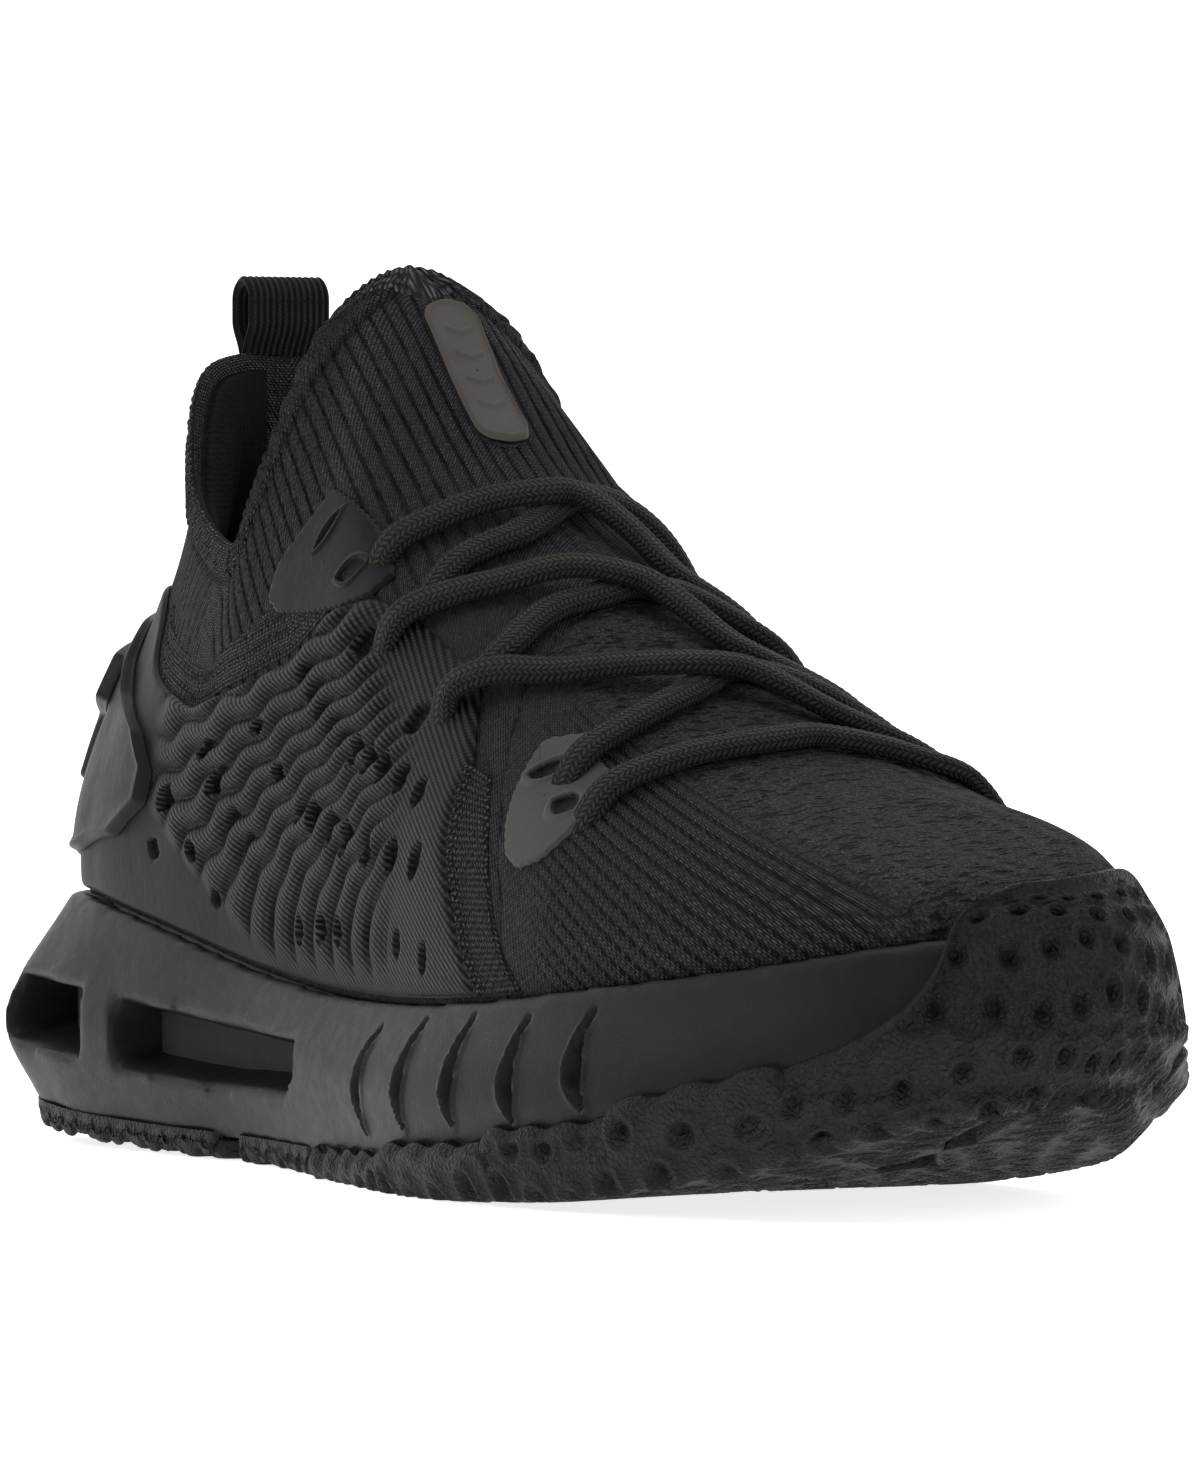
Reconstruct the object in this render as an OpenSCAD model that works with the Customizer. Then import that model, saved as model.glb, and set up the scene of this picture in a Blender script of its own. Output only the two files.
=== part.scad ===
// Running shoe, right foot: a knit sock upper with moulded quarter panels on a
// framed foam midsole with a rubber outsole that wraps up over the toe.
// +X points to the toe, -Y is the lateral side, +Z is up, and the origin is
// on the floor under the middle of the shoe.

/* [Shoe] */
// Length over the sole
shoe_length = 300; // [270:5:330]
// Width over the widest part of the forefoot
shoe_width = 106; // [96:1:116]
// Height to the top of the tongue
shoe_height = 150; // [130:2:170]

/* [Upper] */
// Thickness of the knit
knit_t = 2.2; // [1.6:0.1:3]
// Thickness of the moulded quarter panels
panel_t = 1.2; // [0.8:0.1:2]
// Thickness of the heel counter shell
counter_t = 2; // [1.5:0.1:3]
// Thickness of the ankle pads
pad_t = 4.5; // [3:0.5:6]

/* [Sole] */
// Thickness of the outsole rubber
tread_t = 4; // [3:0.5:5]
// Thickness of the rubber where it wraps over the toe
bumper_t = 2.3; // [1.8:0.1:3]
// Thickness of the sockliner
liner_t = 4; // [3:0.5:6]
// Distance of the flex line ahead of the middle of the shoe
flex_x = 62; // [55:1:70]
// Radius of the flex knuckle inside the midsole
knuckle_r = 10; // [8:0.5:11]

/* [Lace and tab] */
// Width of the flat lace
lace_w = 6.5; // [5:0.5:8]
// Thickness of the flat lace
lace_t = 2.4; // [2:0.1:3]
// Width of the pull tab webbing
tab_w = 15; // [12:1:18]
// Height of the pull tab loop above its root
tab_h = 13; // [12:1:20]
// Thickness of the pull tab webbing
tab_t = 1.4; // [1:0.1:1.8]

/* [Hidden] */

// Every outline below is drawn for a shoe of 300 x 106 x 150 mm
size = [shoe_length / 300, shoe_width / 106, shoe_height / 150];
gap = 0.2;              // clearance between two layers that lie on each other
ring_n = 64;            // points round the sole
side_n = 6;             // steps up the side of the midsole

// ---- curves ----------------------------------------------------------

// Closed list: lateral values from heel to toe, then medial ones back again
function ring(lat, med) = concat(lat, [for (i = [len(med) - 2:-1:1]) med[i]]);

// Smooth value on a closed list, t from 0 to 1 once round
function ring_at(list, t) =
    let (n = len(list), s = (t - floor(t)) * n, i = floor(s), f = s - i,
        a = list[(i + n - 1) % n], b = list[i % n],
        c = list[(i + 1) % n], d = list[(i + 2) % n])
    spline(a, b, c, d, f);

// Smooth value on an open list, t from 0 to 1 end to end
function line_at(list, t) =
    let (n = len(list) - 1, s = min(max(t, 0), 1) * n, i = min(floor(s), n - 1),
        f = s - i, b = list[i], c = list[i + 1],
        a = i > 0 ? list[i - 1] : 2 * b - c,
        d = i < n - 1 ? list[i + 2] : 2 * c - b)
    spline(a, b, c, d, f);

function spline(a, b, c, d, f) =
    b + f * ((c - a) / 2 + f * (a - 2.5 * b + 2 * c - d / 2
        + f * (1.5 * (b - c) + (d - a) / 2)));

function scaled(p) = [p.x * size.x, p.y * size.y, p.z * size.z];
function unit(v) = v / max(norm(v), 1e-9);

// ---- sole outlines: [heel x, toe x, y ring, z ring] --------------------
// The y and z values stand at eleven even steps from heel to toe on each side

bottom_lat = [0, -33.5, -40, -39.5, -38, -44, -50, -46, -33, -16, 5];
bottom_med = [0, 27, 35, 36, 33, 34, 43, 44, 30, 16, 5];
bottom_lat_z = [7.9, 6.9, 5.3, 4.3, 3.9, 3.9, 4, 6, 11, 18, 21];
bottom_med_z = [7.9, 6.9, 5.3, 4.3, 3.9, 3.9, 4, 9, 15, 20, 21];
bottom = [-144, 142, ring(bottom_lat, bottom_med), ring(bottom_lat_z, bottom_med_z)];

wide_lat = [0, -37.5, -43.5, -43, -42, -47, -53, -50, -37, -19, 5];
wide_med = [0, 30, 39, 40, 37, 38, 47, 53, 36, 21, 5];
wide_lat_z = [23, 22, 21, 20, 19, 17, 16, 17, 22, 28, 31];
wide_med_z = [23, 22, 21, 20, 19, 17, 17, 20, 25, 29, 31];
wide = [-150, 148.05, ring(wide_lat, wide_med), ring(wide_lat_z, wide_med_z)];

rim_lat = [0, -29, -37, -39, -39, -43, -48, -46, -34, -18, 5];
rim_med = [0, 26, 35, 37, 35, 34, 43, 49, 35, 22.5, 5];
rim_lat_z = [43, 42, 41, 37, 31, 28.5, 29.5, 33, 37, 41, 43];
rim_med_z = [43, 42, 41, 38, 33, 31, 31, 33, 37, 41, 43];
rim = [-141, 143, ring(rim_lat, rim_med), ring(rim_lat_z, rim_med_z)];

// Point on an outline, u from 0 at the heel, 0.5 at the toe, lateral side first
function on_loop(loop, u, out = 0, up = 0) =
    let (y = ring_at(loop[2], u), c = cos(360 * u), y0 = 5 * (1 - c) / 2)
    scaled([(loop[0] + loop[1]) / 2 - ((loop[1] - loop[0]) / 2 + out) * c,
        y + out * (y - y0) / (abs(y - y0) + 4), ring_at(loop[3], u) + up]);

// Side of the sole: t = 0 at the bottom edge, 1 at the widest line, 2 at the rim
function sole_side(u, t) = line_at([on_loop(bottom, u), on_loop(wide, u), on_loop(rim, u)], t / 2);

// ---- upper -----------------------------------------------------------
// Seventeen even steps from heel to toe on each side. The collar line runs
// along the edge of the opening to the tongue, then down the instep.

collar_lat = [[-117, 0, 133], [-116, -9, 133], [-112, -17, 130], [-104, -23, 121],
    [-91, -28, 109], [-71, -30, 101], [-64, -28, 114], [-62, -17, 138.5],
    [-62, -1, 147.5], [-33, 0, 119], [0, 1, 99], [38, 1, 81], [72, 2, 69],
    [96, 3, 61.5], [112, 4, 57], [120, 5, 55], [122, 5, 54.5]];
collar_med_y = [0, 9, 17, 23, 28, 30, 27, 15.5];
collar = ring(collar_lat,
    [for (i = [0:16]) let (p = collar_lat[i]) i < 8 ? [p.x, collar_med_y[i], p.z] : p]);

// Pulls each side of the upper outward below the collar line
shoulder_lat = [[-109, 0, 92], [-108, -9, 92], [-104, -16, 92], [-96, -21, 90],
    [-87, -29, 86], [-70, -35, 80], [-56, -38, 88], [-46, -36, 104],
    [-42, -31, 123], [-22, -29, 109], [12, -31, 92], [50, -28, 76], [82, -24, 65],
    [104, -19, 59], [118, -12, 55], [128, -3, 53], [132, 5, 52]];
shoulder_med = [[-109, 0, 92], [-108, 9, 92], [-104, 16, 92], [-96, 21, 90],
    [-87, 29, 86], [-70, 35, 80], [-56, 37, 88], [-46, 35, 104], [-42, 28, 123],
    [-22, 21, 109], [12, 17, 92], [50, 18, 76], [82, 24, 66], [104, 26, 63.5],
    [118, 22, 60], [128, 15, 55.5], [132, 5, 52]];
shoulder = ring(shoulder_lat, shoulder_med);

// Pulls the upper away from the rim of the sole
belly_lat = [[-4, 0, 28], [-4, -2, 28], [-3, -3, 27], [-2, -3, 26], [0, -3, 24],
    [0, -3, 24], [0, -3, 26], [0, -3, 30], [0, -3, 32], [0, -3, 30], [0, -3, 25],
    [0, -3, 19], [1, -3, 15], [1.5, -2, 12], [2, -1.5, 9], [2, 0, 7], [2, 0, 6]];
belly_med = [[-4, 0, 28], [-4, 2, 28], [-3, 3, 27], [-2, 3, 26], [0, 3, 24],
    [0, 3, 24], [0, 3, 26], [0, 3, 30], [0, 3, 32], [0, 3, 30], [0, 3, 25],
    [0, 3, 19], [1, 3, 15.5], [1.5, 2, 13], [2, 1.5, 11], [2, 1, 8], [2, 0, 6]];
belly = ring(belly_lat, belly_med);

feather_in = 2.5;       // the upper meets the sole this far inside the rim
function feather(u) = on_loop(rim, u, -feather_in, gap);

// Point on the upper: v = 0 at the sole, 1 at the collar line
function upper(u, v) =
    let (p0 = feather(u), p1 = p0 + scaled(ring_at(belly, u)),
        p2 = scaled(ring_at(shoulder, u)), p3 = scaled(ring_at(collar, u)), w = 1 - v)
    w * w * w * p0 + 3 * w * w * v * p1 + 3 * w * v * v * p2 + v * v * v * p3;

// The same surface across the foot: w = -1 lateral sole edge, 0 instep, 1 medial
function arch(u, w) = w <= 0 ? upper(u, 1 + w) : upper(1 - u, 1 - w);

// Toe wrap: t = 0 at the bottom edge, 2 at the rim, 4 on top of the toe
function toe_side(u, t) = line_at([on_loop(bottom, u, -1, -3), on_loop(bottom, u),
    on_loop(wide, u), on_loop(rim, u, 0.6), upper(u, 0.22), upper(u, 0.45)], (t + 1) / 5);

function normal_of(f, u, v) =
    let (e = 0.004, a = f(u + e, v) - f(u - e, v),
        v0 = max(v - 0.01, -1), v1 = v + 0.01)
    unit(cross(a, f(u, v1) - f(u, v0)));
function lifted(f, u, v, h) = f(u, v) + h * normal_of(f, u, v);

// ---- solids ----------------------------------------------------------

function quad(a, b, c, d) = [[a, b, c], [a, c, d]];
function flatten(list) = [for (part = list) each part];

// Shell over f(u, v) from u0 to u1 and v_lo(u) to v_hi(u), between the two
// heights above the surface. fold joins the last row to itself across v.
module shell(f, u0, u1, nu, v_lo, v_hi, nv, low, high, fold = false) {
    row = nv + 1;
    layer = (nu + 1) * row;
    points = [for (h = [low, high]) for (i = [0:nu]) for (j = [0:nv])
        let (u = u0 + (u1 - u0) * i / nu, v = v_lo(u) + (v_hi(u) - v_lo(u)) * j / nv)
        lifted(f, u, v, h)];
    in = function(i, j) i * row + j;
    out = function(i, j) layer + i * row + j;
    half = floor(nv / 2);
    faces = flatten([
        for (i = [0:nu - 1]) for (j = [0:nv - 1])
            quad(out(i, j), out(i, j + 1), out(i + 1, j + 1), out(i + 1, j)),
        for (i = [0:nu - 1]) for (j = [0:nv - 1])
            quad(in(i, j), in(i + 1, j), in(i + 1, j + 1), in(i, j + 1)),
        for (i = [0:nu - 1]) quad(out(i, 0), out(i + 1, 0), in(i + 1, 0), in(i, 0)),
        for (i = [0:nu - 1]) quad(out(i + 1, nv), out(i, nv), in(i, nv), in(i + 1, nv)),
        for (j = [0:nv - 1]) quad(out(0, j + 1), out(0, j), in(0, j), in(0, j + 1)),
        for (j = [0:nv - 1]) fold ? [] : quad(out(nu, j), out(nu, j + 1), in(nu, j + 1), in(nu, j)),
        for (j = [0:half - 1]) !fold ? [] : folded(out, nu, nv, j, half),
        for (j = [0:half - 1]) !fold ? [] : [for (t = folded(in, nu, nv, j, half)) [t[2], t[1], t[0]]],
        !fold ? [] : quad(out(nu, 0), out(nu, nv), in(nu, nv), in(nu, 0))]);
    polyhedron(points, faces);
}

function folded(at, i, nv, j, half) =
    j == half - 1 ? [[at(i, j), at(i, j + 1), at(i, nv - j)]]
    : quad(at(i, j), at(i, j + 1), at(i, nv - j - 1), at(i, nv - j));

// Solid through a stack of closed loops, the ends closed straight across
module loft(loops) {
    n = len(loops[0]);
    m = len(loops) - 1;
    points = flatten(loops);
    sides = [for (k = [0:m - 1]) for (i = [0:n - 1])
        each quad(k * n + i, (k + 1) * n + i, (k + 1) * n + (i + 1) % n, k * n + (i + 1) % n)];
    lid = flatten([for (i = [0:n / 2 - 1]) let (a = i, b = i + 1, c = (n - i - 1) % n, d = (n - i) % n)
        i == 0 ? [[a, b, c]] : i == n / 2 - 1 ? [[a, b, d]] : quad(a, b, c, d)]);
    top = [for (t = lid) [m * n + t[2], m * n + t[1], m * n + t[0]]];
    polyhedron(points, concat(sides, lid, top));
}

function loop_points(loop, out = 0, up = 0) =
    [for (i = [0:ring_n - 1]) on_loop(loop, i / ring_n, out, up)];

// Leaves the size as it is and joins the children into one skin
module one_skin() {
    resize([0, 0, 0]) children();
}

// ---- midsole ---------------------------------------------------------

dish = 4;               // depth of the footbed below the rim
flex_z = 14;            // height of the knuckle's middle
flex_turn = 32;         // largest bend that the notch leaves room for

module midsole_body() {
    loft(concat(
        [for (k = [0:side_n]) [for (i = [0:ring_n - 1]) sole_side(i / ring_n, 2 * k / side_n)]],
        [loop_points(rim, -1.6, 0), loop_points(rim, -feather_in - 3, -dish)]));
}

// Everything ahead of the flex line, with the round knuckle at its rear
module ahead_of_flex(r, slack) {
    big = 2 * shoe_width;
    translate([flex_x, 0, flex_z]) rotate([90, 0, 0]) {
        translate([0, 0, -big / 2]) cylinder(r = r, h = big, $fn = 48);
        linear_extrude(big, center = true) polygon([[-slack, 0], [-slack, -big],
            [shoe_length, -big], [shoe_length, big], [-slack, big]]);
    }
}

// Room behind the flex line for the front piece to tip back into
module flex_notch() {
    big = 2 * shoe_width;
    translate([flex_x, 0, flex_z]) rotate([90, 0, 0]) linear_extrude(big, center = true)
        polygon([[0, 0], [0, big], [-big * tan(flex_turn), big]]);
}

// The slot through the heel that holds the cushion core, side view
module heel_slot_shape(grow = 0) {
    offset(delta = grow) polygon([[-165, 19], [-165, 31], [-104, 26.5], [-90, 25.5],
        [-20, 21], [-17, 16], [-24, 12.5], [-60, 12], [-90, 14], [-104, 15]]);
}

side_post = [-104, 12];     // where the posts in the side windows start, and their length
back_post = [-126, 15];     // the post behind the core: its front, and half its width
post_depth = 26;            // the side posts reach in to this distance from the middle

module along_y(depth) {
    rotate([90, 0, 0]) linear_extrude(depth, center = true) children();
}

// The posts that hold the heel slot open, made larger by grow
module heel_posts(grow = 0) {
    for (side = [-1, 1]) scale(size)
        translate([side_post[0] - grow, side > 0 ? post_depth - grow : -post_depth + grow - 60, -5])
        cube([side_post[1] + 2 * grow, 60, 50]);
    scale(size) translate([-170, -back_post[1] - grow, -5])
        cube([170 + back_post[0] + grow, 2 * (back_post[1] + grow), 50]);
}

module midsole_rear() {
    color("#2b292b") one_skin() difference() {
        midsole_body();
        ahead_of_flex(knuckle_r + 0.3, 0.3);
        flex_notch();
        difference() {
            scale(size) along_y(200) heel_slot_shape();
            heel_posts();
        }
    }
}

module midsole_forefoot() {
    color("#2b292b") one_skin() intersection() {
        midsole_body();
        ahead_of_flex(knuckle_r, 0);
    }
}

// The sole's outline as an upright block, moved in from the sidewall
module inset_sole(in) {
    loft([loop_points(wide, -in, -30), loop_points(wide, -in, 20)]);
}

module core_shape(in, shrink) {
    intersection() {
        inset_sole(in);
        difference() {
            scale(size) along_y(200) heel_slot_shape(-shrink);
            heel_posts(shrink);
        }
    }
}

core_in = 9;            // the core sits this far inside the widest line of the sole

module cushion_core() {
    color("#17161a") one_skin() core_shape(core_in + 1.2, 1.5);
}

// Stretch mesh sleeve round the core, with its mouth at the front end
module core_wrap() {
    color("#222126") one_skin() difference() {
        core_shape(core_in, 0.3);
        core_shape(core_in + 1, 1.3);
        scale(size) translate([-32, -12, 14.6]) cube([20, 24, 2.4]);
    }
}

// ---- outsole ---------------------------------------------------------

function above_floor(loop) = [for (p = loop) [p.x, p.y, max(p.z, 0)]];

module tread_slab(out = -1.5) {
    loft([above_floor(loop_points(bottom, out - 1, -tread_t)),
        loop_points(bottom, out, -tread_t + 1.2), loop_points(bottom, out, -gap)]);
}

// The part of the tread layer that lies over a plan-view outline
module tread_pod() {
    color("#1e1d1f") one_skin() intersection() {
        tread_slab();
        translate([0, 0, -10]) linear_extrude(50) scale([size.x, size.y])
            offset(r = 2, $fn = 16) children();
    }
}

module outsole_heel_lateral() {
    tread_pod() polygon([[-160, -4], [-160, -60], [-60, -60], [-60, -18], [-112, -18], [-120, -4]]);
}

module outsole_heel_medial() {
    tread_pod() polygon([[-160, 4], [-160, 60], [-60, 60], [-60, 18], [-112, 18], [-120, 4]]);
}

module outsole_midfoot() {
    tread_pod() polygon([[-52, -60], [-50, -22], [-14, -16], [-14, 16], [-50, 20], [-52, 60],
        [-12, 60], [8, 30], [8, -30], [6, -60]]);
}

module outsole_forefoot_lateral() {
    tread_pod() polygon([[14, -60], [16, -3], [55, -3], [55, -60]]);
}

module outsole_forefoot_medial() {
    tread_pod() polygon([[0, 60], [16, 34], [16, 5], [55, 5], [55, 60]]);
}

bumper_top = [0.4, 1.2, 2.1, 3.2, 3.8, 4, 3.8, 3.2, 2.1, 1.2, 0.4];
bumper_span = 0.085;    // how far the wrap reaches each way round from the toe

module outsole_toe() {
    top = function(u) line_at(bumper_top, (u - 0.5 + bumper_span) / (2 * bumper_span));
    color("#242325") one_skin() {
        shell(function(u, t) toe_side(u, t), 0.5 - bumper_span, 0.5 + bumper_span, 22,
            function(u) -0.6, top, 10, 0.4, bumper_t);
        intersection() {
            tread_slab(1);
            translate([flex_x + 4, -100, -10]) cube([120, 200, 60]);
        }
    }
}

// ---- inside the shoe ---------------------------------------------------

module plate(inset, low, high) {
    loft([loop_points(rim, -inset, low), loop_points(rim, -inset, high)]);
}

module strobel_board() {
    color("#c9c2b2") plate(feather_in + knit_t + 1.2, -dish + 1.6, -dish + 3);
}

module sockliner() {
    color("#1b1b1e") one_skin() loft([
        loop_points(rim, -feather_in - knit_t - 2.6, -dish + 3.2),
        loop_points(rim, -feather_in - knit_t - 2, -dish + 3.2 + liner_t),
        loop_points(rim, -feather_in - knit_t - 5, -dish + 2.6 + liner_t)]);
}

module heel_stiffener() {
    color("#3a393b") shell(function(u, v) upper(u, v), -0.12, 0.12, 14,
        function(u) 0.14, function(u) 0.52 - 8 * u * u, 5, -knit_t - 1.4, -knit_t - gap);
}

module toe_puff() {
    color("#3a393b") shell(function(u, v) upper(u, v), 0.44, 0.56, 12,
        function(u) 0.45, function(u) 0.68, 4, -knit_t - 1.6, -knit_t - 0.7);
}

module ankle_pad_lateral() {
    color("#19191b") shell(function(u, v) upper(u, v), 0.015, 0.135, 10,
        function(u) 0.74, function(u) 0.97, 4, -knit_t - pad_t, -knit_t - gap);
}

module ankle_pad_medial() {
    color("#19191b") shell(function(u, v) upper(u, v), -0.135, -0.015, 10,
        function(u) 0.74, function(u) 0.97, 4, -knit_t - pad_t, -knit_t - gap);
}

// ---- knit ------------------------------------------------------------

collar_end = 0.247;     // the collar stops just short of the tongue

module knit_collar() {
    color("#1c1b1d") shell(function(u, v) upper(u, v), -collar_end, collar_end, 34,
        function(u) 0, function(u) 1, 12, -knit_t, 0);
}

module knit_vamp() {
    color("#201f22") shell(function(u, w) arch(u, w), 0.25, 0.488, 17,
        function(u) -1, function(u) 1, 24, -knit_t, 0, fold = true);
}

module vamp_seam_tape() {
    color("#151416") for (side = [-1, 1]) shell(function(u, w) arch(u, w), 0.322, 0.33, 2,
        function(u) side < 0 ? -0.99 : 0.56, function(u) side < 0 ? -0.56 : 0.99, 7, gap, 0.9);
}

// ---- overlays on the knit ---------------------------------------------

// Height of the quarter panel's top edge from its rear end to its front end
panel_top = [0.6, 0.58, 0.55, 0.5, 0.48, 0.51, 0.58, 0.59];
panel_rear = 0.133;
panel_front = 0.318;
function panel_edge(u) = line_at(panel_top, (u - panel_rear) / (panel_front - panel_rear));

module quarter_panel_lateral() {
    color("#26252a") shell(function(u, v) upper(u, v), panel_rear, panel_front, 18,
        function(u) 0.015, function(u) panel_edge(u), 8, gap, panel_t);
}

module quarter_panel_medial() {
    color("#26252a") shell(function(u, v) upper(u, v), 1 - panel_front, 1 - panel_rear, 18,
        function(u) 0.015, function(u) panel_edge(1 - u), 8, gap, panel_t);
}

module heel_counter() {
    color("#2d2c2f") shell(function(u, v) upper(u, v), -0.125, 0.125, 18,
        function(u) 0.045 + 8 * u * u, function(u) 0.56 - 10 * u * u, 7, gap, counter_t);
}

module heel_emblem() {
    color("#3a393c") shell(function(u, v) upper(u, v), -0.035, 0.035, 6,
        function(u) 0.2 + 20 * u * u, function(u) 0.44 - 30 * u * u, 4,
        counter_t + gap, counter_t + 1.4);
}

film_low = 0.35;        // the eyelet patches lie this far above the knit
film_t = 0.5;           // thickness of the eyelet patches

module upper_patch(side) {
    color("#29282c") shell(function(u, w) arch(u, w), 0.254, 0.277, 4,
        function(u) side < 0 ? -0.4 : 0.26, function(u) side < 0 ? -0.26 : 0.4, 3,
        film_low, film_low + film_t);
}

module eyelet_patch_upper_lateral() {
    upper_patch(-1);
}

module eyelet_patch_upper_medial() {
    upper_patch(1);
}

module toe_patch(side) {
    color("#6b6864") shell(function(u, w) arch(u, w), 0.334, 0.352, 3,
        function(u) side < 0 ? -0.64 : 0.38, function(u) side < 0 ? -0.38 : 0.64, 5,
        film_low, film_low + film_t);
}

module eyelet_patch_toe_lateral() {
    toe_patch(-1);
}

module eyelet_patch_toe_medial() {
    toe_patch(1);
}

badge_low = 1.1;        // the badge bridges the crest of the tongue at this height
badge_t = 1.4;          // thickness of the badge

module tongue_badge() {
    color("#4a4845") shell(function(u, w) arch(u, w), 0.256, 0.28, 8,
        function(u) -0.075, function(u) 0.075, 4, badge_low, badge_low + badge_t);
}

// ---- pull tab ----------------------------------------------------------

tab_root = [-116.5, 0, 133.4];  // hinge line of the loop at the collar edge
tab_gap = 5.2;                  // distance between the two plies of the loop
tab_lift = 1.6;                 // the loop starts this far above its hinge line

module tab_side(grow) {
    r = tab_gap / 2;
    hull() for (z = [tab_lift + tab_t + r, tab_h - tab_t - r])
        translate([0, z]) circle(r = r + grow, $fn = 32);
}

module pull_tab() {
    color("#1a191b") translate(scaled(tab_root)) along_y(tab_w) difference() {
        tab_side(tab_t);
        tab_side(0);
    }
}

// Doubled webbing sewn to the outside of the collar under the loop
module tab_anchor() {
    color("#1a191b") shell(function(u, v) upper(u, v), -0.024, 0.024, 6,
        function(u) 0.8, function(u) 0.985, 5, gap, 2);
}

// ---- lace ----------------------------------------------------------------
// Places along the lace: [u, w, height of its middle above the knit]

over = 2;               // a strand lying on the knit
top = 4.9;              // a strand lying on another strand
lace_route = [
    [0.272, -0.43, over + 1.2], [0.281, -0.3, over], [0.292, -0.1, top], [0.3, 0.1, top],
    [0.305, 0.3, over], [0.305, 0.44, over + 1], [0.31, 0.3, over], [0.316, 0.12, over],
    [0.318, -0.1, over], [0.314, -0.3, over], [0.31, -0.44, over + 1.2],
    [0.322, -0.32, over], [0.335, -0.12, top], [0.347, 0.1, top], [0.352, 0.3, over],
    [0.352, 0.44, over + 1], [0.362, 0.46, over + 1], [0.368, 0.3, over],
    [0.372, 0.1, over], [0.372, -0.1, over], [0.366, -0.3, over], [0.36, -0.46, over + 1],
    [0.349, -0.44, over + 1], [0.349, -0.3, over], [0.343, -0.1, over], [0.334, 0.1, over],
    [0.323, 0.28, over], [0.314, 0.44, over + 4], [0.313, 0.26, top], [0.304, 0.02, top + 2],
    [0.297, -0.22, top], [0.286, -0.43, over + 1.2], [0.284, -0.26, top],
    [0.288, 0, over], [0.281, 0.2, over], [0.272, 0.43, over + 1.2]];
lace_steps = 75;

function lace_mid(t) =
    let (p = line_at(lace_route, t)) lifted(function(u, w) arch(u, w), p[0], p[1], p[2]);
function lace_up(t) =
    let (p = line_at(lace_route, t)) normal_of(function(u, w) arch(u, w), p[0], p[1]);

// Flat oval tube along a path, up(t) giving the direction of its thin side
module flat_tube(mid, up, steps, width, thick) {
    k = 8;
    points = [for (i = [0:steps]) let (t = i / steps, p = mid(t),
        along = unit(mid(min(t + 0.004, 1)) - mid(max(t - 0.004, 0))),
        side = unit(cross(up(t), along)), rise = cross(along, side))
        for (j = [0:k - 1]) p + side * cos(360 * j / k) * width / 2 + rise * sin(360 * j / k) * thick / 2];
    faces = flatten([
        for (i = [0:steps - 1]) for (j = [0:k - 1])
            quad(i * k + j, i * k + (j + 1) % k, (i + 1) * k + (j + 1) % k, (i + 1) * k + j),
        for (j = [1:k - 2]) [[0, j + 1, j]],
        for (j = [1:k - 2]) [[steps * k, steps * k + j, steps * k + j + 1]]]);
    polyhedron(points, faces);
}

// The lace ends tucked in along the lining: [u, w, depth below the knit]
tail_in = -knit_t - lace_t / 2 - 0.3;
tail_route = [[0.272, 0.43, tail_in], [0.268, 0.38, tail_in - 0.6], [0.264, 0.33, tail_in - 0.6]];
aglet_route = [[0.2635, 0.324, tail_in - 1], [0.2575, 0.25, tail_in - 1]];
aglet_d = 3;            // diameter of the tip on each lace end

module inner_tube(route, side, steps, width, thick) {
    at = function(t) line_at(route, t);
    flat_tube(function(t) lifted(function(u, w) arch(u, side * w), at(t)[0], at(t)[1], side * at(t)[2]),
        function(t) normal_of(function(u, w) arch(u, side * w), at(t)[0], at(t)[1]),
        steps, width, thick);
}

module lace() {
    color("#23231f") {
        flat_tube(function(t) lace_mid(t), function(t) lace_up(t), lace_steps, lace_w, lace_t);
        for (side = [-1, 1]) inner_tube(tail_route, side, 4, lace_w, lace_t);
    }
}

module lace_aglets() {
    color("#101010") for (side = [-1, 1]) inner_tube(aglet_route, side, 4, aglet_d, aglet_d);
}

midsole_rear();
midsole_forefoot();
cushion_core();
core_wrap();
outsole_toe();
outsole_forefoot_lateral();
outsole_forefoot_medial();
outsole_midfoot();
outsole_heel_lateral();
outsole_heel_medial();
strobel_board();
sockliner();
knit_collar();
knit_vamp();
quarter_panel_lateral();
quarter_panel_medial();
heel_counter();
heel_emblem();
heel_stiffener();
ankle_pad_lateral();
ankle_pad_medial();
toe_puff();
eyelet_patch_upper_lateral();
eyelet_patch_upper_medial();
eyelet_patch_toe_lateral();
eyelet_patch_toe_medial();
tongue_badge();
vamp_seam_tape();
pull_tab();
tab_anchor();
lace();
lace_aglets();
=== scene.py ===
"""Running shoe: the looks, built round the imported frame.

Shapes are worked out in millimetres on the same surfaces as the CAD source,
and turned into metres when a mesh is made.

Not every number here was chosen by hand. Another program worked out RIB_FIT,
about half of the points of LACE_ROUTE, and the first readings of SLOTS, SLITS,
PANEL_TOP, COUNTER_EDGE, TOE_EDGE, POD_ROWS, the seam edges, the eyelet patches
and the camera. The lace's route isn't the one in the CAD source.
"""

import math

import bmesh
import bpy
import numpy as np
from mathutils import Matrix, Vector
from mathutils.bvhtree import BVHTree


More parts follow.
